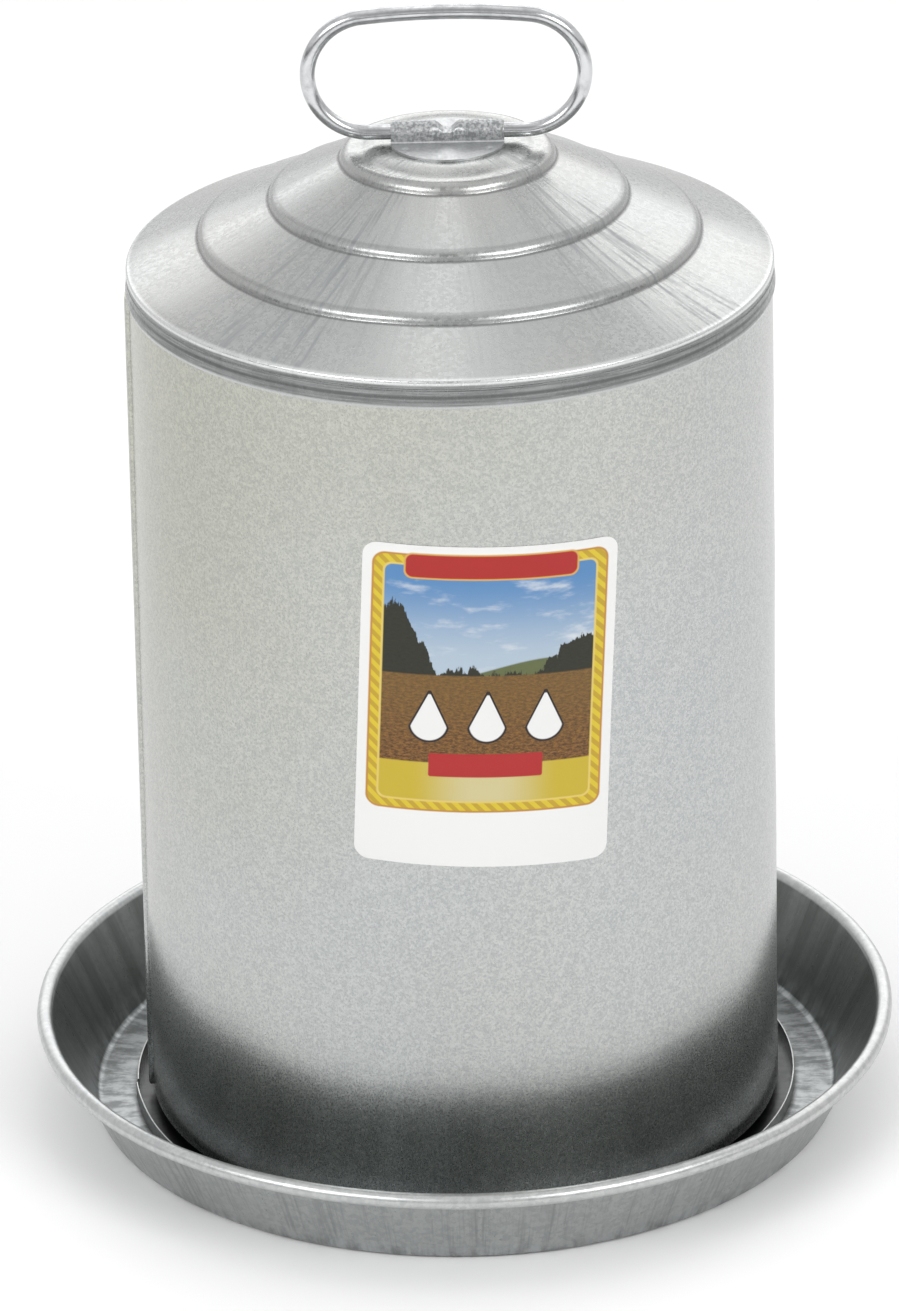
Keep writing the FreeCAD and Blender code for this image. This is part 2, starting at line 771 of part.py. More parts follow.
def make_label():
    """A paper label wrapped on the shell, with rounded corners and a slight lean."""
    taper = "((ShellFootRadius - ShellTopRadius) / (ShellTop - ShellFoot))"
    foot, top = "(LabelMiddle - LabelHeight)", "(LabelMiddle + LabelHeight)"
    foot_radius = f"ShellFootRadius - {taper} * ({foot} - ShellFoot) + LabelLift"
    top_radius = f"ShellFootRadius - {taper} * ({top} - ShellFoot) + LabelLift"
    rise_up = f"{top} - {foot}"
    outer = cone("LabelOuter", f"{foot_radius} + LabelThick", f"{top_radius} + LabelThick", rise_up, foot)
    inner = cone("LabelInner", foot_radius, top_radius, rise_up, foot)
    sleeve = cut("LabelSleeve", outer, inner)
    plan = body_with("LabelPlan")
    side, rise, corner = "LabelWidth / 2", "LabelHeight / 2", "LabelCorner"
    steps = [
        (f"{side} - {corner}", f"-{rise}"),
        (side, f"-{rise} + {corner}", corner, 1),
        (side, f"{rise} - {corner}"),
        (f"{side} - {corner}", rise, corner, 1),
        (f"-{side} + {corner}", rise),
        (f"-{side}", f"{rise} - {corner}", corner, 1),
        (f"-{side}", f"-{rise} + {corner}"),
        (f"-{side} + {corner}", f"-{rise}", corner, 1),
    ]
    sketch = outline(plan, "LabelOutline", "XZ_Plane", (f"-{side} + {corner}", f"-{rise}"), steps)
    pad = plan.newObject("PartDesign::Pad", "LabelPad")
    pad.Profile = sketch
    bind(pad, Length="ShellFootRadius + Past")
    lean = FreeCAD.Rotation(FreeCAD.Vector(0, 1, 0), size("LabelLean"))
    turn = FreeCAD.Rotation(FreeCAD.Vector(0, 0, 1), size("LabelTurn"))
    plan.Placement = FreeCAD.Placement(FreeCAD.Vector(0, 0, size("LabelMiddle")), turn * lean)
    sub_part(common("Label", sleeve, plan), "front_label")


def make_valve_cam():
    """The lug inside the shell that holds the lever open while the cover is on."""
    lever_face = f"{PIVOT_DEPTH} + LeverSheet / 2 - (LeverUpper - CamHeight) * sin(OpenAngle) + CamGap"
    wall = "ShellFootRadius - SteelSheet - CamSink"
    low = "PivotHeight + LeverUpper - CamHeight"
    tip = block("CamTip", "CamWidth", "CamSheet", "CamHeight", "-CamWidth / 2", lever_face, low)
    back = block(
        "CamPlate", "CamWidth", "CamSheet", "CamHeight + CamBack", "-CamWidth / 2", f"{wall} - CamSheet", low
    )
    bridge = block(
        "CamBridge", "CamWidth", f"{wall} - ({lever_face})", "CamSheet", "-CamWidth / 2", lever_face, low
    )
    sub_part(fused("Cam", [tip, back, bridge]), "valve_cam")


# ---- handle -----------------------------------------------------------------------------------------


def make_handle_ring():
    """One length of wire bent into a loop; its two ends are the pivots inside the bracket."""
    body = body_with("Handle")
    axis = "HandleAxisHeight"
    join_x = "(HandleStraight + HandleEndRadius * sin(HandleArch))"
    join_z = f"({axis} + HandleEndRadius + HandleEndRadius * cos(HandleArch))"
    arch = "(HandleStraight / sin(HandleArch) + HandleEndRadius)"
    steps = [
        ("-HandleStraight", axis),
        (f"-{join_x}", join_z, "HandleEndRadius", -1),
        (join_x, join_z, arch, -1),
        ("HandleStraight", axis, "HandleEndRadius", -1),
        ("WireEndGap", axis),
    ]
    path = outline(body, "HandlePath", "XZ_Plane", ("-WireEndGap", axis), steps, closed=False)
    section = body.newObject("Sketcher::SketchObject", "WireSection")
    section.AttachmentSupport = (origin_plane(body, "YZ_Plane"), "")
    section.MapMode = "FlatFace"
    section.setExpression("AttachmentOffset.Base.z", linked("-WireEndGap"))
    middle = FreeCAD.Vector(0, size(axis), 0)
    section.addGeometry(Part.Circle(middle, FreeCAD.Vector(0, 0, 1), size("WireRadius")))
    section.addConstraint(Sketcher.Constraint("PointOnObject", 0, 3, -2))
    height = section.addConstraint(Sketcher.Constraint("DistanceY", -1, 1, 0, 3, size(axis)))
    section.setExpression(f"Constraints[{height}]", linked(axis))
    radius = section.addConstraint(Sketcher.Constraint("Radius", 0, size("WireRadius")))
    section.setExpression(f"Constraints[{radius}]", linked("WireRadius"))
    pipe = body.newObject("PartDesign::AdditivePipe", "WirePipe")
    pipe.Profile = section
    pipe.Spine = path
    sub_part(body, "handle_ring")


def write_parts():
    doc.recompute()
    for item in doc.Objects:
        if "Invalid" in item.State or "Error" in item.State:
            raise RuntimeError(f"{item.Name} did not compute: {item.State}")
    for item in SUB_PARTS:
        if item.Shape.isNull() or not item.Shape.isValid():
            raise RuntimeError(f"{item.Label} has no valid shape")
    os.makedirs("parts", exist_ok=True)
    for item in SUB_PARTS:
        item.Shape.exportStep(f"parts/{item.Label}.step")
        box = item.Shape.BoundBox
        print(
            f"{item.Label:16s} solids {len(item.Shape.Solids)} volume {item.Shape.Volume:9.1f}"
            f"  x {box.XMin:.1f} {box.XMax:.1f}  y {box.YMin:.1f} {box.YMax:.1f}"
            f"  z {box.ZMin:.1f} {box.ZMax:.1f}"
        )


make_drinking_pan()
make_locating_ring()
make_cover_rests()
make_tank_wall()
make_tank_bottom()
make_tank_solder()
make_valve_seat()
make_valve_fork()
make_valve_spring()
make_valve_lever()
make_valve_pad()
make_outer_shell()
make_dome_top()
make_dome_solder()
make_handle_bracket()
make_label()
make_valve_cam()
make_handle_ring()
write_parts()
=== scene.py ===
import bmesh
import bpy
import math
from mathutils import Matrix, Vector, noise


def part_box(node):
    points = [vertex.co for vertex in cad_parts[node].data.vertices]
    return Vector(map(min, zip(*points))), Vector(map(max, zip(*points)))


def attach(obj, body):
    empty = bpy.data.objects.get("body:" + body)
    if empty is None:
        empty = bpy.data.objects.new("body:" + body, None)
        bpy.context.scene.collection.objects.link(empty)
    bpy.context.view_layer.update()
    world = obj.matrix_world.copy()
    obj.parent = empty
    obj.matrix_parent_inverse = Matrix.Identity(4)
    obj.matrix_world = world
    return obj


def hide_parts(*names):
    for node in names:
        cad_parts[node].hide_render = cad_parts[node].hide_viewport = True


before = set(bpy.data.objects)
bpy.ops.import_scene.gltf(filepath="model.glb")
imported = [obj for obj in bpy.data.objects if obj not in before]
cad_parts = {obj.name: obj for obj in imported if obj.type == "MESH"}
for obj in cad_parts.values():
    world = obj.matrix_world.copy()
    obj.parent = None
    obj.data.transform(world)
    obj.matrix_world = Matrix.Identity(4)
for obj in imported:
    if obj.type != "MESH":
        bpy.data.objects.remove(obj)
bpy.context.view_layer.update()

MM = 0.001


def low_high(node):
    """The opposite corners of a node's box in the frame."""
    low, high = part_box(node)
    return Vector(low), Vector(high)


_, PAN_HIGH = low_high("drinking_pan")
SHELL_LOW, SHELL_HIGH = low_high("outer_shell")
DOME_LOW, DOME_HIGH = low_high("dome_top")
RING_LOW, RING_HIGH = low_high("locating_ring")
BRACKET_LOW, _ = low_high("handle_bracket")
LOOP_LOW, _ = low_high("handle_ring")
LABEL_LOW, LABEL_HIGH = low_high("front_label")

# ---- driving dimensions, in metres and degrees ------------------------------------------------------

SEGMENTS = 256
SHEET = 0.55 * MM

# pan; its wall and bead start to wander at PAN_WAVE_START, over a run of PAN_WAVE_RUN
PAN_FLOOR = 135.0 * MM
PAN_CORNER = 3.5 * MM
PAN_BEAD = 2.8 * MM
PAN_FLARE = 64.5
PAN_CURL_END = -140.0
PAN_WAVE = 0.5 * MM
PAN_WAVE_START = 120.0 * MM
PAN_WAVE_RUN = 30.0 * MM

# strip ring round the foot of the cover
RING_RADIUS = 120.1 * MM
RING_STRIP = 0.6 * MM
RING_GAP = 2.5 * MM
RING_GAP_TURN = 183.3
RING_KICK = 0.5 * MM
RING_END_TURN = 8.0
RING_WANDER = 0.12 * MM

# shell and the seam up its outside
SHELL_FOOT = 114.3 * MM
SHELL_TOP = 112.4 * MM
SHELL_FOLD = 0.6 * MM
SHELL_HEM = 6.0 * MM
SHELL_WAVE = 0.5 * MM
SEAM_TURN = 183.0
SEAM_WIDTH = 7.0 * MM
SEAM_PROUD = 1.6 * MM
SEAM_LAP = 0.4 * MM
SEAM_WANDER = 0.25 * MM
SEAM_ROWS = 90

# dome; a step is its radius and its drop below the crown
CROWN_FLAT = 21.5 * MM
CROWN_SHOULDER = 22.3 * MM
CROWN_END = 66.2
STEPS = ((37.8 * MM, 5.5 * MM), (62.9 * MM, 19.9 * MM), (87.9 * MM, 33.1 * MM))
STEP_SLOPES = (0, 26, 24)
STEP_RISER = 75
STEP_FILLET = 0.3
STEP_TOE = 0.12 * MM
STEP_SINK = 0.02 * MM
STEP_RUN = 0.5 * MM
NOSES = (3.8 * MM, 3.4 * MM, 3.4 * MM)
NOSE_FOOT = 1.1 * MM
NOSE_SHARE = 0.559
RIM_DROP = 42.8 * MM
RIM_ROUND = 1.2 * MM
RIM_SLOPE = 22.0
RIM_CENTRE_SHARE = 0.93
SKIRT = 113.2 * MM
SKIRT_TOP = DOME_HIGH.z - RIM_DROP
SKIRT_LINES = ((3.0 * MM, 0.0), (3.3 * MM, 0.3 * MM), (3.7 * MM, 0.3 * MM), (4.0 * MM, 0.0))
SKIRT_HEM = 3.4 * MM
# the painted shade line on the skirt lies this far below the rim
SKIRT_SHADE_LINE = 6.2 * MM
HEM_PROUD = 0.38 * MM
STREAK_TURNS = (-129.0, -43.0)
DOME_WAVE = 0.35 * MM

# handle loop and its bracket
WIRE = 2.65 * MM
WIRE_END = 4.5 * MM
LOOP_STRAIGHT = 26.75 * MM
LOOP_END = 21.2 * MM
LOOP_ARCH = 6.0
BRACKET_SHEET = 0.9 * MM
BRACKET_RADIUS = 20.5 * MM
BRACKET_HALF = 19.6 * MM
BRACKET_FILLET = 0.7 * MM
BRACKET_EDGE = 0.4 * MM
TUNNEL = 3.0 * MM
TUNNEL_AXIS = LOOP_LOW.z + WIRE
CRIMP_TOP = 4.8 * MM
CRIMP_FOOT = 1.3 * MM
CRIMP_HEIGHT = TUNNEL_AXIS + 0.5 * MM
PINCH = 0.16
PINCH_REACH = 5.5 * MM
WELD_TURNS = (-147, -95, -33, 29, 85, 150)
WELD_REACH = 17.3 * MM
WELD_RADIUS = 1.5 * MM
WELD_DEPTH = 0.4 * MM

# label
LABEL_WIDTH = 87.5 * MM
LABEL_HEIGHT = 120.2 * MM
LABEL_CORNER = 5.0 * MM
LABEL_THICK = 0.15 * MM
LABEL_LIFT = 0.1 * MM
LABEL_RAISE = 2.4 * MM
LABEL_TURN = 5.0
LABEL_LEAN = 2.8

# ---- mesh helpers -----------------------------------------------------------------------------------


def arc(centre, radius, first, last, count):
    """Points on an arc in the profile plane; angles in degrees from the outward direction."""
    angles = [math.radians(first + (last - first) * index / count) for index in range(count + 1)]
    return [(centre[0] + radius * math.cos(a), centre[1] + radius * math.sin(a)) for a in angles]


def new_object(name, mesh):
    """An object in the scene that shows the mesh."""
    item = bpy.data.objects.new(name, mesh)
    bpy.context.scene.collection.objects.link(item)
    return item


def finish_mesh(name, vertices, faces, sharp):
    """A smooth-shaded object from points and faces, with edges sharper than the angle kept sharp."""
    mesh = bpy.data.meshes.new(name)
    mesh.from_pydata(vertices, [], faces)
    mesh.validate()
    work = bmesh.new()
    work.from_mesh(mesh)
    bmesh.ops.remove_doubles(work, verts=work.verts, dist=1e-7)
    bmesh.ops.recalc_face_normals(work, faces=work.faces)
    work.to_mesh(mesh)
    work.free()
    mesh.polygons.foreach_set("use_smooth", [True] * len(mesh.polygons))
    mesh.set_sharp_from_angle(angle=math.radians(sharp))
    return new_object(name, mesh)


def lathe(name, profile, shift):
    """Turns a closed profile of (radius, height) about Z; shift moves each point a little."""
    vertices, faces, rings = [], [], []
    for radius, height in profile:
        if radius < 1e-7:
            rings.append([len(vertices)] * SEGMENTS)
            vertices.append((0.0, 0.0, height))
            continue
        ring = []
        for index in range(SEGMENTS):
            angle = 2 * math.pi * index / SEGMENTS
            point = Vector((radius * math.cos(angle), radius * math.sin(angle), height))
            ring.append(len(vertices))
            vertices.append(tuple(shift(point, angle)))
        rings.append(ring)
    for here, there in zip(rings, rings[1:] + rings[:1]):
        for index in range(SEGMENTS):
            after = (index + 1) % SEGMENTS
            corners = [here[index], here[after], there[after], there[index]]
            face = [c for k, c in enumerate(corners) if c != corners[k - 1]]
            if len(set(face)) > 2:
                faces.append(face)
    return finish_mesh(name, vertices, faces, 35.0)


def closed_rows(rows, count):
    """Faces between rows of points that each close on themselves, and a cap at either end."""
    faces = []
    for row in range(rows - 1):
        here, there = row * count, (row + 1) * count
        for k in range(count):
            n = (k + 1) % count
            faces.append((here + k, here + n, there + n, there + k))
    faces.append(tuple(range(count)))
    faces.append(tuple((rows - 1) * count + k for k in range(count)))
    return faces


def tube(name, path, radius, sides):
    """A round bar along a list of points that lie in the plane of X and Z."""
    vertices = []
    side = Vector((0, 1, 0))
    for index, point in enumerate(path):
        before = path[max(index - 1, 0)]
        after = path[min(index + 1, len(path) - 1)]
        up = (after - before).normalized().cross(side).normalized()
        for k in range(sides):
            angle = 2 * math.pi * k / sides
            vertices.append(tuple(point + (side * math.cos(angle) + up * math.sin(angle)) * radius))
    return finish_mesh(name, vertices, closed_rows(len(path), sides), 40.0)


def divided(profile, longest):
    """The profile with long straight stretches cut into shorter ones."""
    result = [profile[0]]
    for here, there in zip(profile, profile[1:]):
        length = math.dist(here, there)
        steps = max(1, math.ceil(length / longest))
        for step in range(1, steps + 1):
            t = step / steps
            result.append((here[0] + (there[0] - here[0]) * t, here[1] + (there[1] - here[1]) * t))
    return result


# ---- materials --------------------------------------------------------------------------------------


class Finish:
    """A node material built step by step; most methods add a node and return its output socket."""

    def __init__(self, name, metallic, roughness=0.5):
        self.material = bpy.data.materials.new(name)
        self.material.use_nodes = True
        self.tree = self.material.node_tree
        self.shader = self.tree.nodes["Principled BSDF"]
        self.shader.inputs["Metallic"].default_value = metallic
        self.shader.inputs["Roughness"].default_value = roughness
        self.place = self.node("ShaderNodeTexCoord").outputs["Object"]

    def node(self, kind, inputs=(), **settings):
        item = self.tree.nodes.new(kind)
        for key, value in settings.items():
            setattr(item, key, value)
        for key, value in dict(inputs).items():
            self.feed(item.inputs[key], value)
        return item

    def feed(self, socket, value):
        if isinstance(value, bpy.types.NodeSocket):
            self.tree.links.new(value, socket)
        else:
            socket.default_value = value

    def set(self, name, value):
        self.feed(self.shader.inputs[name], value)

    def maths(self, operation, first, second=0.0):
        return self.node("ShaderNodeMath", {0: first, 1: second}, operation=operation).outputs[0]

    def plus(self, first, second):
        return self.maths("ADD", first, second)

    def minus(self, first, second):
        return self.maths("SUBTRACT", first, second)

    def times(self, first, second):
        return self.maths("MULTIPLY", first, second)

    def absolute(self, value):
        return self.maths("ABSOLUTE", value)

    def away(self, value, middle):
        """How far a value is from the middle, either way."""
        return self.absolute(self.minus(value, middle))

    def vector(self, operation, first, second=(0, 0, 0)):
        item = self.node("ShaderNodeVectorMath", {0: first, 1: second}, operation=operation)
        return item.outputs["Value"] if operation == "LENGTH" else item.outputs["Vector"]

    def joined(self, x, y, z=0.0):
        return self.node("ShaderNodeCombineXYZ", {0: x, 1: y, 2: z}).outputs[0]

    def split(self, vector):
        return self.node("ShaderNodeSeparateXYZ", {0: vector}).outputs

    def scaled(self, vector, x, y, z):
        return self.vector("MULTIPLY", vector, (x, y, z))

    def grain(self, vector, scale, detail=3.0, rough=0.6):
        inputs = {"Vector": vector, "Scale": scale, "Detail": detail, "Roughness": rough}
        return self.node("ShaderNodeTexNoise", inputs).outputs["Fac"]

    def cells(self, vector, scale):
        item = self.node("ShaderNodeTexVoronoi", {"Vector": vector, "Scale": scale})
        return self.split(item.outputs["Color"])[0]

    def ranged(self, value, low, high, to_low=0.0, to_high=1.0, smooth=True):
        inputs = {"Value": value, "From Min": low, "From Max": high, "To Min": to_low, "To Max": to_high}
        kind = "SMOOTHSTEP" if smooth else "LINEAR"
        return self.node("ShaderNodeMapRange", inputs, interpolation_type=kind).outputs[0]

    def mixed(self, amount, first, second, blend="MIX"):
        item = self.node("ShaderNodeMix", data_type="RGBA", blend_type=blend)
        for socket, value in zip((item.inputs[0], item.inputs[6], item.inputs[7]), (amount, first, second)):
            if isinstance(value, tuple) and len(value) == 3:
                value = (*value, 1.0)
            self.feed(socket, value)
        return item.outputs[2]

    def bumped(self, height, distance, strength=1.0, below=None):
        inputs = {"Height": height, "Distance": distance, "Strength": strength}
        if below is not None:
            inputs["Normal"] = below
        return self.node("ShaderNodeBump", inputs).outputs[0]

    def toward(self, first, second):
        """How far one direction agrees with another, from 1 down to -1."""
        item = self.node("ShaderNodeVectorMath", {0: first, 1: second}, operation="DOT_PRODUCT")
        return item.outputs["Value"]

    def polar(self):
        """(radius, height, direction outward) about the fount's axis."""
        x, y, z = self.split(self.place)
        radius = self.maths("SQRT", self.plus(self.times(x, x), self.times(y, y)))
        return radius, z, self.vector("NORMALIZE", self.joined(x, y))

    def around(self, turn_scale, radius_scale, height_scale):
        """Coordinates stretched round the axis, without a seam: the direction, then radius and height."""
        x, y, z = self.split(self.place)
        flat = self.joined(x, y)
        direction = self.scaled(self.vector("NORMALIZE", flat), turn_scale, turn_scale, 0.0)
        length = self.vector("LENGTH", flat)
        along = self.plus(self.times(length, radius_scale), self.times(z, height_scale))
        return self.vector("ADD", direction, self.joined(0.0, 0.0, along))


ZINC_LIGHT = (0.545, 0.551, 0.537)
ZINC_DARK = (0.36, 0.375, 0.38)
ZINC_CAST = (0.885, 0.87, 0.765)
ZINC_COOL = (0.533, 0.547, 0.542)


def zinc_base(finish, crystal_size, grain_size, spread):
    """Fine grey spangle: crystals, a finer grain on them and a slow drift of tone."""
    crystals = finish.cells(finish.place, crystal_size)
    specks = finish.grain(finish.scaled(finish.place, 1.0, 1.0, 0.7), grain_size, 5.0, 0.75)
    drift = finish.grain(finish.place, 9.0, 2.0)
    tone = finish.plus(finish.times(crystals, 0.3), finish.times(specks, 1.1))
    light = finish.mixed(finish.ranged(drift, 0.38, 0.62), ZINC_COOL, ZINC_LIGHT)
    colour = finish.mixed(finish.ranged(tone, 0.50, 0.92, spread, 0.0), light, ZINC_DARK)
    return colour, crystals, specks


def warmed(finish, colour, share):
    """A faint yellow cast toward the upper left of the shell."""
    x, _, z = finish.split(finish.place)
    lean = finish.minus(finish.times(z, 0.9), x)
    cloud = finish.times(finish.grain(finish.place, 12.0, 3.0), 0.16)
    amount = finish.ranged(finish.plus(lean, cloud), 0.20, 0.44, 0.0, share)
    return finish.mixed(amount, colour, ZINC_CAST, "MULTIPLY")


def shell_zinc():
    """Fine even spangle with long faint waves round the shell."""
    finish = Finish("galvanised_shell", 1.0)
    colour, _, specks = zinc_base(finish, 1250.0, 1800.0, 0.75)
    finish.set("Base Color", warmed(finish, colour, 0.8))
    creases = finish.grain(finish.scaled(finish.place, 1.0, 1.0, 14.0), 7.0, 2.0)
    finish.set("Roughness", finish.ranged(specks, 0.3, 0.7, 0.24, 0.31))
    bump = finish.bumped(creases, 0.00012, 0.5)
    finish.set("Normal", finish.bumped(specks, 0.00004, 0.4, bump))
    return finish.material


def skirt_tone(finish, height):
    """The dull skirt: level scratches, a broken line of painted shade across it and a painted highlight
    along its lower edge.
    """
    scratches = finish.grain(finish.around(5.0, 0.0, 1500.0), 1.0, 4.0, 0.7)
    tone = finish.mixed(finish.ranged(scratches, 0.35, 0.65), (0.18, 0.187, 0.187), (0.30, 0.308, 0.308))
    # painted shade: a dark line across the skirt, broken by the scratches
    shade_line = finish.away(height, SKIRT_TOP - SKIRT_SHADE_LINE)
    shade_line = finish.times(finish.ranged(shade_line, 0.2 * MM, 1.0 * MM, 1.0, 0.0), scratches)
    tone = finish.mixed(shade_line, tone, (0.04, 0.04, 0.04))
    # painted highlight: a light band along the skirt's lower edge
    edge = finish.ranged(height, DOME_LOW.z + 0.6 * MM, DOME_LOW.z + 1.6 * MM, 0.7, 0.0)
    return finish.mixed(edge, tone, (0.60, 0.61, 0.61))


def dome_zinc():
    """Spun sheet: spangle with radial streaks in two sectors, painted shade lines at the steps, a painted
    highlight along the rim, a dull skirt.
    """
    finish = Finish("galvanised_dome", 1.0)
    colour, crystals, specks = zinc_base(finish, 900.0, 1100.0, 0.22)
    radius, height, outward = finish.polar()
    sectors = 0.15
    for degrees in STREAK_TURNS:
        turn = math.radians(degrees)
        agreement = finish.toward(outward, (math.cos(turn), math.sin(turn), 0.0))
        sectors = finish.plus(finish.ranged(agreement, 0.925, 0.985), sectors)
    streaks = finish.grain(finish.around(48.0, 34.0, 0.0), 1.0, 5.0, 0.65)
    shade = finish.times(finish.ranged(streaks, 0.47, 0.66, 0.0, 0.62), sectors)
    colour = finish.mixed(0.17, colour, (0.0, 0.0, 0.0))
    colour = finish.mixed(shade, colour, (0.28, 0.29, 0.30))
    # painted shade: a dark line at the foot of each step and a fainter dark line at the brow of its nose
    for (step, _), nose in zip(STEPS, NOSES):
        foot = finish.away(radius, step + 0.35 * MM)
        brow = finish.away(radius, step - nose * NOSE_SHARE - 0.3 * MM)
        foot_shade = finish.ranged(foot, 0.15 * MM, 0.75 * MM, 0.62, 0.0)
        brow_shade = finish.ranged(brow, 0.2 * MM, 1.1 * MM, 0.30, 0.0)
        colour = finish.mixed(foot_shade, colour, (0.12, 0.12, 0.12))
        colour = finish.mixed(brow_shade, colour, (0.14, 0.14, 0.14))
    # painted highlight: a light band along the rim's edge just above the skirt
    rim = finish.ranged(height, SKIRT_TOP - 0.2 * MM, SKIRT_TOP + 0.5 * MM, 0.6, 0.0)
    colour = finish.mixed(rim, colour, (0.85, 0.86, 0.86))
    on_skirt = finish.ranged(height, SKIRT_TOP - 2.2 * MM, SKIRT_TOP - 1.4 * MM, 1.0, 0.0)
    finish.set("Base Color", finish.mixed(on_skirt, colour, skirt_tone(finish, height)))
    sparkle = finish.ranged(crystals, 0.0, 1.0, 0.23, 0.35)
    finish.set("Roughness", finish.plus(sparkle, finish.times(shade, 0.25)))
    bump = finish.bumped(finish.times(streaks, sectors), 0.00015, 0.4)
    finish.set("Normal", finish.bumped(finish.plus(crystals, specks), 0.00003, 0.2, bump))
    return finish.material


def pan_floor_tone(finish, radius):
    """The pan's floor: broken radial marks, and painted shade over it within the ring, under the foot of
    the cover.
    """
    marks = finish.times(finish.grain(finish.around(30.0, 60.0, 0.0), 1.0, 4.0, 0.7), 0.6)
    mottle = finish.times(finish.grain(finish.place, 150.0, 4.0, 0.65), 0.4)
    tone = finish.ranged(finish.plus(marks, mottle), 0.40, 0.60)
    tone = finish.mixed(tone, (0.17, 0.18, 0.18), (0.40, 0.415, 0.42))
    # painted shade: the floor within the ring, in the gap under the cover's foot, is made nearly black
    shade_within_ring = finish.ranged(radius, RING_RADIUS - RING_STRIP, RING_RADIUS + 4 * RING_STRIP, 0.9, 0.0)
    return finish.mixed(shade_within_ring, tone, (0.06, 0.06, 0.06))


def pan_zinc():
    """Drawn sheet: upright draw marks on the wall; painted shade darkens the wall below the bead and
    darkens and dulls its inner face further, and a painted highlight lightens the bead.
    """
    finish = Finish("galvanised_pan", 1.0)
    colour, _, specks = zinc_base(finish, 480.0, 800.0, 0.8)
    radius, height, outward = finish.polar()
    marks = finish.grain(finish.around(90.0, 14.0, 14.0), 1.0, 5.0, 0.7)
    broad = finish.grain(finish.around(16.0, 4.0, 4.0), 1.0, 3.0, 0.6)

    wall = finish.ranged(radius, PAN_FLOOR - 1.0 * MM, PAN_FLOOR + 5.0 * MM)
    normal = finish.node("ShaderNodeNewGeometry").outputs["Normal"]
    inward = finish.ranged(finish.toward(normal, outward), -0.3, 0.0, 1.0, 0.0)
    outer_bead = finish.ranged(height, PAN_HIGH.z - 6.0 * MM, PAN_HIGH.z - 4.5 * MM)
    inner_bead = finish.ranged(height, PAN_HIGH.z - 2.6 * MM, PAN_HIGH.z - 1.5 * MM)
    on_bead = finish.minus(outer_bead, finish.times(inward, finish.minus(outer_bead, inner_bead)))
    below_bead = finish.times(wall, finish.minus(1.0, on_bead))
    # painted shade: the inner face of the wall is darkened further, more in some broad patches
    inner = finish.times(finish.times(below_bead, inward), finish.ranged(broad, 0.35, 0.65, 0.52, 0.82))

    shade = finish.ranged(finish.plus(marks, finish.times(broad, 0.8)), 0.86, 1.15, 0.0, 0.6)
    colour = finish.mixed(finish.times(shade, below_bead), colour, (0.20, 0.21, 0.21))
    # painted shade: the whole wall below the bead is darkened by half
    colour = finish.mixed(finish.times(below_bead, 0.5), colour, (0.27, 0.285, 0.28))
    colour = finish.mixed(inner, colour, (0.15, 0.16, 0.15))
    # painted highlight: the bead is lightened
    colour = finish.mixed(finish.times(on_bead, 0.35), colour, (0.62, 0.63, 0.63))
    finish.set("Base Color", finish.mixed(wall, pan_floor_tone(finish, radius), colour))

    worn = finish.times(finish.minus(marks, 0.5), finish.times(below_bead, 0.4))
    finish.set("Roughness", finish.plus(worn, finish.ranged(specks, 0.3, 0.7, 0.30, 0.38)))
    bump = finish.bumped(finish.times(marks, below_bead), 0.0003, 0.5)
    finish.set("Normal", finish.bumped(specks, 0.00008, 0.7, bump))
    return finish.material


def bracket_zinc():
    """Lighter sheet with small dark pits on its raised tunnel."""
    finish = Finish("galvanised_bracket", 1.0)
    colour, _, specks = zinc_base(finish, 900.0, 1300.0, 0.9)
    light = finish.mixed(0.5, colour, (0.66, 0.67, 0.68))
    _, _, z = finish.split(finish.place)
    raised = finish.ranged(z, BRACKET_LOW.z + 1.2 * MM, BRACKET_LOW.z + 2.0 * MM, 0.25, 1.0)
    pits = finish.ranged(finish.grain(finish.place, 900.0, 4.0, 0.7), 0.42, 0.58, 0.8, 0.0)
    finish.set("Base Color", finish.mixed(finish.times(pits, raised), light, (0.20, 0.21, 0.22)))
    finish.set("Roughness", finish.ranged(specks, 0.3, 0.7, 0.30, 0.46))
    finish.set("Normal", finish.bumped(specks, 0.00010, 0.7))
    return finish.material


def hidden_zinc():
    """The same sheet inside the fount, duller and with water marks."""
    finish = Finish("galvanised_inside", 1.0)
    colour, _, specks = zinc_base(finish, 380.0, 800.0, 0.6)
    marks = finish.grain(finish.scaled(finish.place, 1, 1, 0.25), 30.0, 5.0)
    stains = finish.ranged(marks, 0.5, 0.75, 0.0, 0.5)
    finish.set("Base Color", finish.mixed(stains, colour, (0.42, 0.43, 0.42)))
    finish.set("Roughness", finish.ranged(stains, 0.0, 0.5, 0.34, 0.5))
    finish.set("Normal", finish.bumped(specks, 0.00005, 0.6))
    return finish.material


def bright_wire():
    """Bright drawn wire with faint marks along it and a few dull patches."""
    finish = Finish("bright_wire", 1.0)
    patches = finish.grain(finish.place, 160.0, 4.0, 0.7)
    marks = finish.grain(finish.scaled(finish.place, 0.15, 1.0, 1.0), 2400.0, 2.0)
    tone = finish.ranged(patches, 0.4, 0.7)
    finish.set("Base Color", finish.mixed(tone, (0.60, 0.61, 0.62), (0.44, 0.45, 0.46)))
    finish.set("Roughness", finish.ranged(patches, 0.3, 0.75, 0.13, 0.28))
    finish.set("Normal", finish.bumped(marks, 0.00003, 0.4))
    return finish.material


def mottled(name, metallic, grain, tones, tone_range, roughness, bump=None):
    """A plain material that drifts between two tones with one noise, which also drives its roughness."""
    finish = Finish(name, metallic)
    patches = finish.grain(finish.place, *grain)
    finish.set("Base Color", finish.mixed(finish.ranged(patches, *tone_range), *tones))
    finish.set("Roughness", finish.ranged(patches, 0.3, 0.7, *roughness))
    if bump:
        finish.set("Normal", finish.bumped(patches, *bump))
    return finish.material


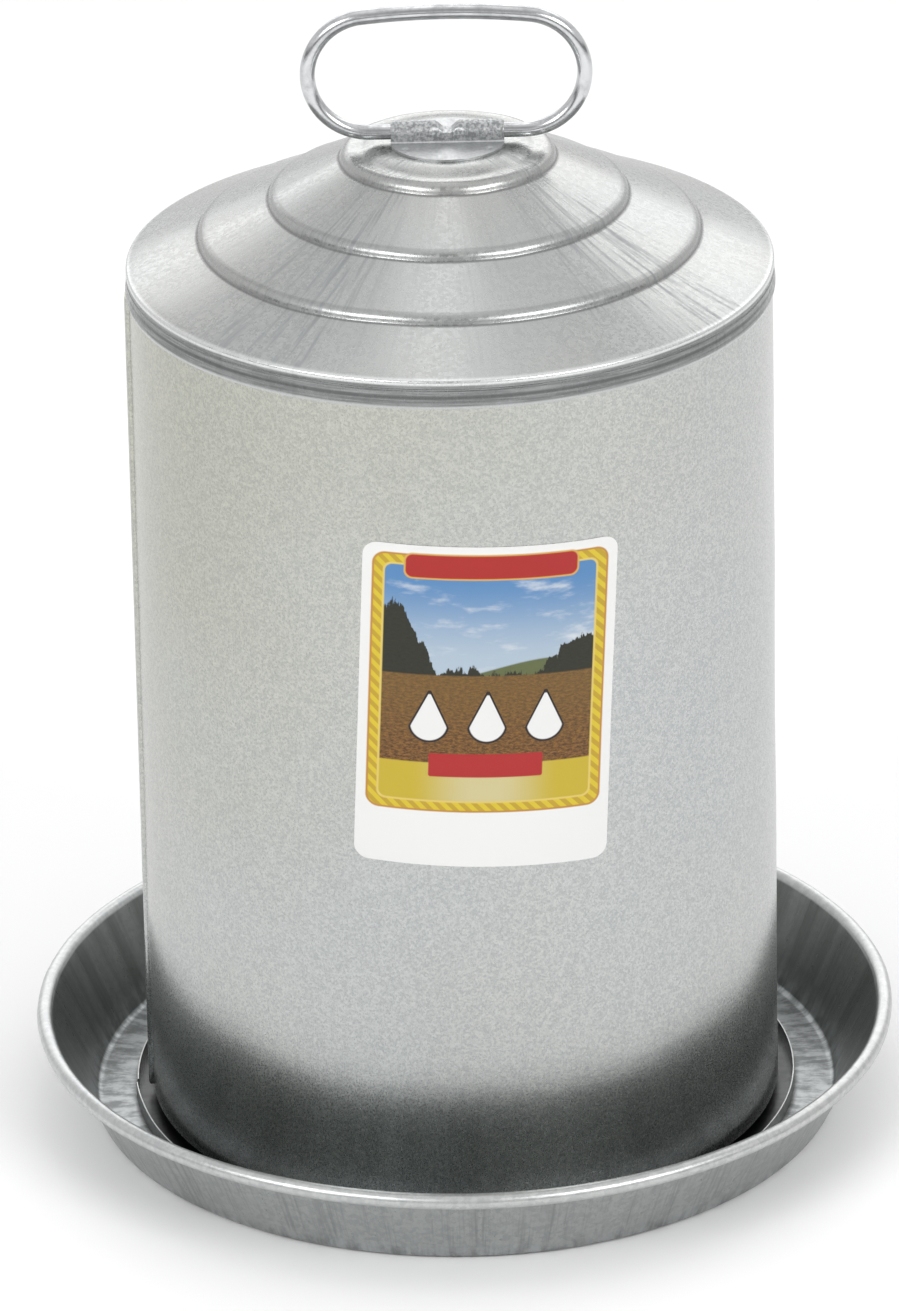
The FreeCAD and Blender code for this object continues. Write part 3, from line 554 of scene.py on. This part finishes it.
def solder_metal():
    tones = ((0.60, 0.60, 0.59), (0.42, 0.42, 0.41))
    return mottled("tin_solder", 1.0, (260.0, 4.0), tones, (0.35, 0.7), (0.3, 0.55), (0.0003, 0.8))


def seat_brass():
    tones = ((0.72, 0.55, 0.27), (0.42, 0.31, 0.17))
    return mottled("seat_brass", 1.0, (500.0, 4.0), tones, (0.4, 0.7), (0.25, 0.45))


def valve_rubber():
    tones = ((0.025, 0.025, 0.027), (0.07, 0.07, 0.07))
    return mottled("valve_rubber", 0.0, (700.0, 4.0), tones, (0.4, 0.8), (0.6, 0.85), (0.0001, 0.5))


def spring_wire():
    tones = ((0.66, 0.66, 0.67), (0.48, 0.48, 0.49))
    return mottled("spring_steel", 1.0, (900.0, 3.0), tones, (0.4, 0.7), (0.18, 0.32))


def landscape(finish, x, y):
    """A made-up view: sky over a hill, dark trees at both sides, a ploughed field and a yellow band."""
    ragged = finish.grain(finish.scaled(finish.place, 1.0, 0.25, 1.0), 0.16, 5.0, 0.65)
    clouds = finish.grain(finish.scaled(finish.place, 0.5, 1.4, 1.0), 0.09, 4.0, 0.6)
    grass = finish.grain(finish.scaled(finish.place, 1.0, 2.2, 1.0), 0.6, 5.0, 0.75)

    sky = finish.mixed(finish.ranged(y, 15.0, 50.0), (0.46, 0.56, 0.66), (0.10, 0.26, 0.52))
    sky = finish.mixed(finish.ranged(clouds, 0.5, 0.72, 0.0, 0.75), sky, (0.78, 0.80, 0.82))
    hills = finish.mixed(grass, (0.09, 0.13, 0.05), (0.16, 0.17, 0.07))
    hill_line = finish.plus(14.0, finish.times(finish.maths("SINE", finish.times(x, 0.07)), 4.0))
    picture = finish.mixed(finish.ranged(finish.minus(y, hill_line), -0.4, 0.4, 1.0, 0.0), sky, hills)

    left_rise = finish.ranged(x, -34.0, -15.0, 25.0, 0.0)
    right_rise = finish.ranged(x, 16.0, 30.0, 0.0, 11.0)
    uneven = finish.times(finish.minus(ragged, 0.5), 26.0)
    tree_line = finish.plus(uneven, finish.plus(left_rise, right_rise))
    trees = finish.ranged(finish.minus(y, finish.plus(tree_line, 13.0)), -0.5, 0.5, 1.0, 0.0)
    leaves = finish.mixed(grass, (0.008, 0.010, 0.006), (0.040, 0.040, 0.022))
    picture = finish.mixed(trees, picture, leaves)

    field = finish.mixed(finish.ranged(grass, 0.35, 0.7), (0.07, 0.028, 0.010), (0.34, 0.16, 0.035))
    field = finish.mixed(finish.ranged(y, -24.0, 10.0, 0.0, 0.55), field, (0.20, 0.12, 0.03))
    picture = finish.mixed(finish.ranged(y, 11.6, 12.4, 1.0, 0.0), picture, field)

    aside = finish.ranged(finish.absolute(x), 4.0, 26.0)
    band = finish.mixed(aside, (0.66, 0.58, 0.30), (0.60, 0.45, 0.035))
    return finish.mixed(finish.ranged(y, -21.3, -20.7, 1.0, 0.0), picture, band)


def label_paper():
    """A glossy printed label: a plain landscape in a yellow frame, with no words or marks on it.

    Its coordinates are millimetres from the middle of the label.
    """
    finish = Finish("label_paper", 0.0)
    finish.place = finish.node("ShaderNodeUVMap", uv_map="art").outputs[0]
    x, y, _ = finish.split(finish.place)
    soft_edge = 0.25
    drop_height = -6.4

    def inside(middle_y, half_x, half_y, corner):
        """1 inside a rounded box on the label's upright middle line, 0 outside it."""
        away_x = finish.minus(finish.absolute(x), half_x - corner)
        away_y = finish.minus(finish.away(y, middle_y), half_y - corner)
        past_x, past_y = finish.maths("MAXIMUM", away_x, 0.0), finish.maths("MAXIMUM", away_y, 0.0)
        deep = finish.maths("MINIMUM", finish.maths("MAXIMUM", away_x, away_y), 0.0)
        distance = finish.plus(finish.vector("LENGTH", finish.joined(past_x, past_y)), deep)
        return finish.ranged(distance, corner - soft_edge, corner + soft_edge, 1.0, 0.0)

    def drop(middle_x, size):
        """1 inside a water drop, which has a round foot and narrows to a point."""
        up = finish.maths("DIVIDE", finish.minus(y, drop_height), size)
        side = finish.maths("DIVIDE", finish.away(x, middle_x), size)
        narrow = finish.ranged(up, -0.2, 1.9, 1.0, 0.02, smooth=False)
        spread, below = finish.maths("DIVIDE", side, narrow), finish.maths("MINIMUM", up, 0.0)
        reach = finish.vector("LENGTH", finish.joined(spread, below))
        below_tip = finish.ranged(up, 1.75, 1.85, 1.0, 0.0)
        return finish.times(finish.ranged(reach, 0.96, 1.04, 1.0, 0.0), below_tip)

    stripes = finish.maths("FRACT", finish.maths("DIVIDE", finish.plus(x, y), 4.4))
    dashes = finish.ranged(finish.away(stripes, 0.5), 0.22, 0.28)
    frame_colour = finish.mixed(dashes, (0.74, 0.56, 0.035), (0.56, 0.37, 0.03))
    boxes = (
        # middle height, half width, half height, corner radius, colour
        (8.7, 40.5, 48.2, 4.5, (0.56, 0.26, 0.04)),
        (8.7, 39.8, 47.5, 3.9, frame_colour),
        (8.7, 36.9, 44.6, 3.0, (0.78, 0.60, 0.16)),
        (8.7, 36.2, 43.9, 2.6, landscape(finish, x, y)),
        (52.5, 30.0, 4.8, 2.9, (0.72, 0.42, 0.10)),
        (52.5, 29.4, 4.2, 2.5, (0.44, 0.022, 0.018)),
        (-21.8, 19.7, 4.4, 0.8, (0.46, 0.022, 0.022)),
    )
    colour = (0.90, 0.90, 0.885)
    for middle_y, half_x, half_y, corner, tone in boxes:
        colour = finish.mixed(inside(middle_y, half_x, half_y, corner), colour, tone)
    for middle_x in (-20.0, 0.0, 20.0):
        colour = finish.mixed(drop(middle_x, 7.0), colour, (0.02, 0.012, 0.010))
        colour = finish.mixed(drop(middle_x, 6.2), colour, (0.88, 0.88, 0.87))

    grain = finish.grain(finish.place, 260.0, 3.0)
    finish.set("Base Color", finish.mixed(0.20, colour, (0.0, 0.0, 0.0)))
    finish.set("Coat Weight", 0.12)
    finish.set("Coat Roughness", 0.12)
    finish.set("Specular IOR Level", 0.3)
    finish.set("Roughness", finish.ranged(grain, 0.3, 0.7, 0.32, 0.42))
    finish.set("Normal", finish.bumped(grain, 0.00003, 0.3))
    return finish.material


def painted(item, material):
    """Gives the whole piece one material."""
    item.data.materials.clear()
    item.data.materials.append(material)
    item.data.polygons.foreach_set("material_index", [0] * len(item.data.polygons))
    return item


# ---- profiles of the spun and rolled sheets ---------------------------------------------------------


def sheet_outline(path):
    """Both faces of a sheet: the path is one face, and the other lies to its right."""
    points = [Vector(point) for point in path]
    other = []
    for index, point in enumerate(points):
        before = points[max(index - 1, 0)]
        after = points[min(index + 1, len(points) - 1)]
        along = (after - before).normalized()
        away = point + Vector((along.y, -along.x)) * SHEET
        other.append((max(away.x, 0.0), away.y))
    return [tuple(point) for point in points] + other[::-1]


def pan_path():
    """The pan's wetted face, from its middle over the corner and wall and round the open curl."""
    middle_x, middle_z = PAN_HIGH.x - PAN_BEAD, PAN_HIGH.z - PAN_BEAD
    flare = math.radians(PAN_FLARE)
    corner_x = PAN_FLOOR - PAN_CORNER * math.tan(flare / 2)
    path = [(0.0, SHEET)]
    path += arc((corner_x, PAN_CORNER), PAN_CORNER - SHEET, -90, PAN_FLARE - 90, 8)
    path += arc((middle_x, middle_z), PAN_BEAD, PAN_FLARE + 90, PAN_CURL_END, 40)
    return divided(path, 5 * MM)


def shell_path():
    """The shell's outer face from the top down, then the fold that turns up inside its foot."""
    fold = SHELL_FOLD
    foot = SHELL_LOW.z + fold
    path = [(SHELL_TOP, SHELL_HIGH.z)]
    path += arc((SHELL_FOOT - fold, foot), fold, 0, -180, 12)
    path.append((SHELL_FOOT - 2 * fold, SHELL_LOW.z + SHELL_HEM))
    return divided(path, 5 * MM)


def step_nose(radius, height, slope, nose):
    """The rounded drop at a step of the dome, then its foot."""
    riser = math.radians(STEP_RISER)
    foot_x, foot_z = radius - NOSE_FOOT / math.tan(riser), height + NOSE_FOOT
    centre = (foot_x - nose * math.sin(riser), foot_z - nose * math.cos(riser))
    points = arc(centre, nose, 90 - slope, 90 - STEP_RISER, 12)
    down = (radius - foot_x, height - foot_z)
    points.append((foot_x + down[0] * (1 - STEP_FILLET), foot_z + down[1] * (1 - STEP_FILLET)))
    points.append((radius + STEP_TOE, height - STEP_SINK))
    points.append((radius + STEP_RUN, height - STEP_RUN * math.tan(math.radians(RIM_SLOPE))))
    return points


def dome_path():
    """The dome's upper face: crown, three steps, the rim and the skirt with its pressed line."""
    crown = DOME_HIGH.z
    path = [(0.0, crown)]
    path += arc((CROWN_FLAT, crown - CROWN_SHOULDER), CROWN_SHOULDER, 90, CROWN_END, 6)
    for (radius, drop), slope, nose in zip(STEPS, STEP_SLOPES, NOSES):
        path += step_nose(radius, crown - drop, slope, nose)
    rim = crown - RIM_DROP
    path += arc((SKIRT - RIM_ROUND, rim - RIM_ROUND * RIM_CENTRE_SHARE), RIM_ROUND, 90 - RIM_SLOPE, 0, 6)
    for drop, press in SKIRT_LINES:
        path.append((SKIRT - press, rim - drop))
    for proud, share in ((0.05 * MM, 1.0), (HEM_PROUD, 0.6), (HEM_PROUD, 0.3), (0.0, 0.0)):
        path.append((SKIRT + proud, DOME_LOW.z + SKIRT_HEM * share))
    return divided(path, 5 * MM)


def shell_waves(point, angle):
    """Slight unevenness of the rolled shell; the label lies on the same surface."""
    place = Vector((math.cos(angle) * 2.6, math.sin(angle) * 2.6, point.z * 14.0 + 3.0))
    long_waves = noise.noise(place) * SHELL_WAVE
    short_waves = noise.noise(place * 4.3) * SHELL_WAVE * 0.12
    return point + Vector((math.cos(angle), math.sin(angle), 0)) * (long_waves + short_waves)


def pan_waves(point, angle):
    """A pressed pan is a little uneven: its floor lifts and its wall and bead wander."""
    around = Vector((math.cos(angle) * 2.2, math.sin(angle) * 2.2, 1.7))
    fine = Vector((math.cos(angle) * 9.0, math.sin(angle) * 9.0, point.z * 20.0))
    reach = math.hypot(point.x, point.y)
    rise = max(0.0, min(1.0, (reach - PAN_WAVE_START) / PAN_WAVE_RUN))
    push = noise.noise(around) * PAN_WAVE * rise + noise.noise(fine) * PAN_WAVE * 0.3 * rise
    lift = (noise.noise(Vector((point.x * 30, point.y * 30, 0.4))) + 1) * PAN_WAVE * 0.25 * (1 - rise)
    return point + Vector((math.cos(angle) * push, math.sin(angle) * push, lift))


def dome_waves(point, angle):
    """Faint radial unevenness left by spinning the dome."""
    reach = math.hypot(point.x, point.y)
    place = Vector((math.cos(angle) * 4.0, math.sin(angle) * 4.0, reach * 18.0))
    past_crown = max(0.0, min(1.0, (reach - 20 * MM) / (30 * MM)))
    before_rim = max(0.0, min(1.0, (112 * MM - reach) / (10 * MM)))
    return point + Vector((0, 0, noise.noise(place) * DOME_WAVE * past_crown * before_rim))


# ---- pieces of sheet and wire -----------------------------------------------------------------------


def shell_radius(height):
    """The shell is a little narrower at its top than at its foot."""
    share = (height - SHELL_LOW.z) / (SHELL_HIGH.z - SHELL_LOW.z)
    return SHELL_FOOT + (SHELL_TOP - SHELL_FOOT) * share


def make_seam():
    """The folded lock seam that runs up the outside of the shell."""
    low, high = SHELL_LOW.z + SEAM_LAP, DOME_LOW.z + SEAM_LAP
    turn = math.radians(SEAM_TURN)
    outward = Vector((math.cos(turn), math.sin(turn), 0))
    sideways = Vector((-math.sin(turn), math.cos(turn), 0))
    half, proud = SEAM_WIDTH / 2, SEAM_PROUD
    section = [
        (-half, -0.3 * MM), (-half + 0.05 * MM, proud * 0.55), (-half + 0.35 * MM, proud * 0.88),
        (-half + 0.9 * MM, proud), (half * 0.35, proud), (half * 0.5, proud * 0.9),
        (half - 0.9 * MM, proud * 0.86), (half - 0.35 * MM, proud * 0.74), (half - 0.05 * MM, proud * 0.4),
        (half, -0.3 * MM),
    ]
    vertices = []
    for row in range(SEAM_ROWS + 1):
        height = low + (high - low) * row / SEAM_ROWS
        wander = noise.noise(Vector((0.3, 0.8, height * 22.0))) * SEAM_WANDER
        radius = shell_radius(height)
        for across, out in section:
            place = outward * (radius + out) + sideways * (across + wander)
            vertices.append((place.x, place.y, height))
    return finish_mesh("shell_seam", vertices, closed_rows(SEAM_ROWS + 1, len(section)), 50.0)


def make_ring():
    """The strip on edge round the cover's foot, with its joint left open at one side."""
    outer, strip = RING_RADIUS, RING_STRIP
    low, high = RING_LOW.z, RING_HIGH.z
    start = math.radians(RING_GAP_TURN) + RING_GAP / outer / 2
    span = 2 * math.pi - RING_GAP / outer
    round_edge = strip * 0.35
    section = [
        (0.0, low), (0.0, high - round_edge), (-round_edge * 0.4, high - round_edge * 0.3),
        (-strip / 2, high), (-strip + round_edge * 0.4, high - round_edge * 0.3),
        (-strip, high - round_edge), (-strip, low),
    ]
    vertices = []
    for index in range(SEGMENTS + 1):
        angle = start + span * index / SEGMENTS
        kick = max(0.0, 1 - math.degrees(angle - start) / RING_END_TURN) * RING_KICK
        wander = noise.noise(Vector((math.cos(angle) * 3, math.sin(angle) * 3, 5.0))) * RING_WANDER
        for inward, height in section:
            reach = outer + inward + kick + wander
            vertices.append((reach * math.cos(angle), reach * math.sin(angle), height))
    return finish_mesh("ring_strip", vertices, closed_rows(SEGMENTS + 1, len(section)), 40.0)


def make_handle():
    """The wire loop: two ends inside the bracket, tight ends and a slightly arched grip."""
    axis = LOOP_LOW.z + WIRE
    path = []

    def add(points):
        path.extend(Vector((x, 0.0, z)) for x, z in points)

    centre_z = axis + LOOP_END
    arch = LOOP_STRAIGHT / math.sin(math.radians(LOOP_ARCH)) + LOOP_END
    arch_z = centre_z - LOOP_STRAIGHT / math.tan(math.radians(LOOP_ARCH))
    add([(-WIRE_END + (-LOOP_STRAIGHT + WIRE_END) * step / 8, axis) for step in range(8)])
    add(arc((-LOOP_STRAIGHT, centre_z), LOOP_END, -90, -270 + LOOP_ARCH, 40))
    add(arc((0.0, arch_z), arch, 90 + LOOP_ARCH, 90 - LOOP_ARCH, 24)[1:-1])
    add(arc((LOOP_STRAIGHT, centre_z), LOOP_END, 90 - LOOP_ARCH, -90, 40))
    add([(LOOP_STRAIGHT + (WIRE_END - LOOP_STRAIGHT) * step / 8, axis) for step in range(1, 9)])
    return tube("handle_wire", path, WIRE, 28)


def crimp_height(x, grow):
    """Height of the wedge pressed into the tunnel at x, for the outer face or one sheet further in."""
    foot, top = CRIMP_FOOT + grow, CRIMP_TOP + grow
    low, high = CRIMP_HEIGHT - grow, TUNNEL_AXIS + TUNNEL + BRACKET_SHEET
    share = max(0.0, (abs(x) - foot) / (top - foot))
    return low + (high - low + grow) * share


def bracket_section(x, inward):
    """Points (y, z) across the bracket at x: plate, tunnel and plate, on one face of the sheet."""
    base = BRACKET_LOW.z + (0.0 if inward else BRACKET_SHEET)
    tunnel = TUNNEL + (0.0 if inward else BRACKET_SHEET)
    fillet = BRACKET_FILLET + (BRACKET_SHEET if inward else 0.0)
    edge = math.sqrt(max(BRACKET_RADIUS ** 2 - x ** 2, (tunnel + fillet + BRACKET_EDGE) ** 2))
    half = []
    start = tunnel + fillet
    for step in range(14):
        half.append((edge + (start - edge) * step / 14, base))
    for step in range(7):
        angle = math.radians(90 * step / 6)
        half.append((start - fillet * math.sin(angle), base + fillet * (1 - math.cos(angle))))
    for step in range(13):
        angle = math.radians(90 * step / 12)
        half.append((tunnel * math.cos(angle), TUNNEL_AXIS + tunnel * math.sin(angle)))
    both = half + [(-y, z) for y, z in half[-2::-1]]
    limit = crimp_height(x, BRACKET_SHEET if inward else 0.0)
    pinch = 1 - PINCH * max(0.0, 1 - (x / PINCH_REACH) ** 2)
    return [(y * pinch if z > base + fillet else y, min(z, max(limit, base))) for y, z in both]


def welded(x, y, z):
    """The height of a point on the bracket's upper face, lower where a spot weld dents the plate."""
    if z >= BRACKET_LOW.z + 2 * BRACKET_SHEET:
        return z
    for degrees in WELD_TURNS:
        turn = math.radians(degrees)
        away = math.dist((x, y), (WELD_REACH * math.cos(turn), WELD_REACH * math.sin(turn))) / WELD_RADIUS
        z -= WELD_DEPTH * max(0.0, 1 - away * away)
    return z


def make_bracket():
    """One stamped sheet: a round plate, the tunnel that holds the wire ends, its crimp and spot welds."""
    stations = [-BRACKET_HALF + 2 * BRACKET_HALF * step / 96 for step in range(97)]
    vertices, faces, grids = [], [], []
    for inward in (False, True):
        grid = []
        for x in stations:
            row = []
            for y, z in bracket_section(x, inward):
                row.append(len(vertices))
                vertices.append((x, y, z if inward else welded(x, y, z)))
            grid.append(row)
        grids.append(grid)
    upper, lower = grids
    rows, columns = len(stations), len(upper[0])
    for a in range(rows - 1):
        for b in range(columns - 1):
            faces.append((upper[a][b], upper[a + 1][b], upper[a + 1][b + 1], upper[a][b + 1]))
            faces.append((lower[a][b], lower[a][b + 1], lower[a + 1][b + 1], lower[a + 1][b]))
    for a in range(rows - 1):
        for b in (0, columns - 1):
            faces.append((upper[a][b], lower[a][b], lower[a + 1][b], upper[a + 1][b]))
    for b in range(columns - 1):
        for a in (0, rows - 1):
            faces.append((upper[a][b], upper[a][b + 1], lower[a][b + 1], lower[a][b]))
    return finish_mesh("bracket_sheet", vertices, faces, 40.0)


def make_label():
    """The label's thin sheet on the shell; its own map holds millimetres from its middle."""
    turn, lean = math.radians(LABEL_TURN), math.radians(LABEL_LEAN)
    middle = (LABEL_LOW.z + LABEL_HIGH.z) / 2 + LABEL_RAISE
    half_x, half_y, corner = LABEL_WIDTH / 2, LABEL_HEIGHT / 2, LABEL_CORNER
    heights = []
    for step in range(9):
        heights.append(half_y - corner * (1 - math.sin(math.radians(90 * (1 - step / 8)))))
    inner = half_y - corner
    heights += [inner - 2 * inner * step / 48 for step in range(1, 48)]
    heights += [-height for height in reversed(heights[:9])]
    columns = 48
    vertices, faces, art = [], [], []
    for lift in (LABEL_LIFT + LABEL_THICK, LABEL_LIFT):
        for height in heights:
            past = max(0.0, abs(height) - (half_y - corner))
            half = half_x - corner + math.sqrt(max(corner ** 2 - past ** 2, 0.0))
            for column in range(columns + 1):
                a = half * (2 * column / columns - 1)
                x = a * math.cos(lean) + height * math.sin(lean)
                z = middle + height * math.cos(lean) - a * math.sin(lean)
                radius = shell_radius(z)
                angle = math.asin(x / radius) - math.pi / 2 + turn
                face = Vector((math.cos(angle), math.sin(angle), 0))
                place = shell_waves(face * radius + Vector((0, 0, z)), angle)
                vertices.append(tuple(place + face * lift))
                art.append((a / MM, height / MM))
    rows, wide = len(heights), columns + 1
    under = rows * wide
    for a in range(rows - 1):
        for b in range(columns):
            k = a * wide + b
            faces.append((k, k + wide, k + wide + 1, k + 1))
            faces.append((under + k, under + k + 1, under + k + wide + 1, under + k + wide))
    for b in range(columns):
        for k in (b, (rows - 1) * wide + b):
            faces.append((k, k + 1, under + k + 1, under + k))
    for a in range(rows - 1):
        for k in (a * wide, a * wide + columns):
            faces.append((k, k + wide, under + k + wide, under + k))
    mesh = bpy.data.meshes.new("label_sheet")
    mesh.from_pydata(vertices, [], faces)
    layer = mesh.uv_layers.new(name="art")
    for loop in mesh.loops:
        layer.data[loop.index].uv = art[loop.vertex_index]
    work = bmesh.new()
    work.from_mesh(mesh)
    bmesh.ops.recalc_face_normals(work, faces=work.faces)
    work.to_mesh(mesh)
    work.free()
    mesh.polygons.foreach_set("use_smooth", [True] * len(mesh.polygons))
    mesh.set_sharp_from_angle(angle=math.radians(40))
    return new_object("label_sheet", mesh)


# ---- the pieces -------------------------------------------------------------------------------------


def stands_for(item, node, body, material):
    """The piece takes the place of a CAD node and moves with its body."""
    painted(item, material)
    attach(item, body)
    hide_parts(node)


pan = lathe("pan_sheet", sheet_outline(pan_path()), pan_waves)
stands_for(pan, "drinking_pan", "base", pan_zinc())

shell = lathe("shell_sheet", sheet_outline(shell_path()), shell_waves)
shell_finish = shell_zinc()
stands_for(shell, "outer_shell", "cover", shell_finish)
seam = painted(make_seam(), shell_finish)
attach(seam, "cover")

dome = lathe("dome_sheet", sheet_outline(dome_path()), dome_waves)
stands_for(dome, "dome_top", "cover", dome_zinc())

stands_for(make_bracket(), "handle_bracket", "cover", bracket_zinc())
stands_for(make_handle(), "handle_ring", "handle", bright_wire())
stands_for(make_ring(), "locating_ring", "base", hidden_zinc())
stands_for(make_label(), "front_label", "cover", label_paper())

INSIDE = hidden_zinc()
NODE_FINISHES = {
    "cover_rests": INSIDE, "tank_wall": INSIDE, "tank_bottom": INSIDE, "valve_fork": INSIDE,
    "valve_lever": INSIDE, "valve_cam": INSIDE, "pivot_pin": bright_wire(), "valve_spring": spring_wire(),
    "tank_solder": solder_metal(), "dome_solder": solder_metal(), "valve_seat": seat_brass(),
    "pad_rivet": seat_brass(), "valve_pad": valve_rubber(),
}
for node_name, material in NODE_FINISHES.items():
    painted(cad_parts[node_name], material)

# ---- floor, light and camera ------------------------------------------------------------------------

FLOOR_REACH = 9.0
FLOOR_DROP = 0.1 * MM
WORLD_LIGHT = 0.84
WORLD_BEHIND = 2.3
WORLD_SKYLINE = 0.22
WORLD_ABOVE = 0.45


def make_floor():
    """A wide sheet of pale paper just under the fount."""
    mesh = bpy.data.meshes.new("studio_floor")
    corners = [(-1, -1), (1, -1), (1, 1), (-1, 1)]
    points = [(x * FLOOR_REACH, y * FLOOR_REACH, -FLOOR_DROP) for x, y in corners]
    mesh.from_pydata(points, [], [(0, 1, 2, 3)])
    floor = new_object("studio_floor", mesh)
    finish = Finish("studio_paper", 0.0, 0.9)
    tone = finish.grain(finish.place, 3.0, 2.0)
    finish.set("Base Color", finish.mixed(tone, (0.925, 0.925, 0.925), (0.935, 0.935, 0.935)))
    painted(floor, finish.material)


def soft_light(name, place, aim, width, height, power):
    """A rectangular lamp that shines from its place toward its aim."""
    data = bpy.data.lights.new(name, "AREA")
    data.shape = "RECTANGLE"
    data.size, data.size_y, data.energy = width, height, power
    item = bpy.data.objects.new(name, data)
    bpy.context.scene.collection.objects.link(item)
    item.location = place
    item.rotation_euler = (Vector(aim) - Vector(place)).to_track_quat("-Z", "Y").to_euler()


def studio_world():
    """A white room: bright low down behind, darker along the skyline and above the camera."""
    world = bpy.data.worlds.new("studio")
    world.use_nodes = True
    tree = world.node_tree
    background = tree.nodes["Background"]

    def ranged(value, low, high, to_low, to_high):
        item = tree.nodes.new("ShaderNodeMapRange")
        item.interpolation_type = "SMOOTHSTEP"
        for key, number in (("From Min", low), ("From Max", high), ("To Min", to_low), ("To Max", to_high)):
            item.inputs[key].default_value = number
        tree.links.new(value, item.inputs["Value"])
        return item.outputs[0]

    def product(first, second):
        item = tree.nodes.new("ShaderNodeMath")
        item.operation = "MULTIPLY"
        tree.links.new(first, item.inputs[0])
        tree.links.new(second, item.inputs[1])
        return item.outputs[0]

    def blended(amount, first, brightness):
        item = tree.nodes.new("ShaderNodeMix")
        item.data_type = "FLOAT"
        tree.links.new(amount, item.inputs[0])
        if isinstance(first, float):
            item.inputs[2].default_value = first
        else:
            tree.links.new(first, item.inputs[2])
        item.inputs[3].default_value = brightness
        return item.outputs[0]

    direction = tree.nodes.new("ShaderNodeTexCoord").outputs["Generated"]
    split = tree.nodes.new("ShaderNodeSeparateXYZ")
    tree.links.new(direction, split.inputs[0])
    x, y, z = split.outputs
    sideways = tree.nodes.new("ShaderNodeMath")
    sideways.operation = "ABSOLUTE"
    tree.links.new(x, sideways.inputs[0])
    low_down = product(ranged(z, 0.16, 0.30, 0.0, 1.0), ranged(z, 0.55, 0.80, 1.0, 0.0))
    behind = product(ranged(y, 0.70, 0.90, 0.0, 1.0), low_down)
    skyline = product(ranged(z, -0.08, 0.02, 0.0, 1.0), ranged(z, 0.08, 0.20, 1.0, 0.0))
    skyline = product(skyline, ranged(y, 0.0, 0.45, 1.0, 0.0))
    upper = product(ranged(z, 0.30, 0.50, 0.0, 1.0), ranged(z, 0.80, 0.92, 1.0, 0.0))
    in_front = product(ranged(y, -0.50, -0.25, 1.0, 0.0), ranged(sideways.outputs[0], 0.0, 0.45, 1.0, 0.0))
    above = product(in_front, upper)
    light = blended(behind, WORLD_LIGHT, WORLD_BEHIND)
    light = blended(skyline, light, WORLD_SKYLINE)
    light = blended(above, light, WORLD_ABOVE)
    tree.links.new(light, background.inputs["Color"])
    return world


LIGHTS = (
    # name, place, aim, width, height, watts
    ("overhead", (0.0, 0.3, 2.3), (0.0, 0.1, 0.2), 2.4, 1.4, 2.8),
    ("top_strip", (-0.07, 0.85, 2.3), (0.0, 0.0, 0.3), 0.30, 1.6, 1.2),
    ("front_left", (-1.6, -1.9, 1.8), (-0.1, -0.5, 0.1), 1.5, 0.9, 25.0),
    ("front_right", (1.6, -1.9, 1.8), (0.1, -0.5, 0.1), 1.5, 0.9, 25.0),
    ("right_rear", (1.15, 1.45, 1.75), (0.0, 0.0, 0.33), 1.2, 0.7, 3.0),
)
make_floor()
for light in LIGHTS:
    soft_light(*light)

bpy.context.scene.world = studio_world()
bpy.context.scene.view_settings.view_transform = "Standard"

# place in metres, angles in degrees, lens and sensor in millimetres
CAMERA_PLACE = Vector((-0.0029, -2.5465, 1.3418))
CAMERA_PITCH, CAMERA_ROLL = 24.70, -1.16
LENS, SENSOR = 215.53, 36.0

camera_data = bpy.data.cameras.new("camera")
camera_data.lens, camera_data.sensor_width = LENS, SENSOR
camera = bpy.data.objects.new("camera", camera_data)
bpy.context.scene.collection.objects.link(camera)
tilt = Matrix.Rotation(math.radians(90 - CAMERA_PITCH), 4, "X")
roll = Matrix.Rotation(math.radians(CAMERA_ROLL), 4, "Z")
camera.matrix_world = Matrix.Translation(CAMERA_PLACE) @ tilt @ roll
bpy.context.scene.camera = camera
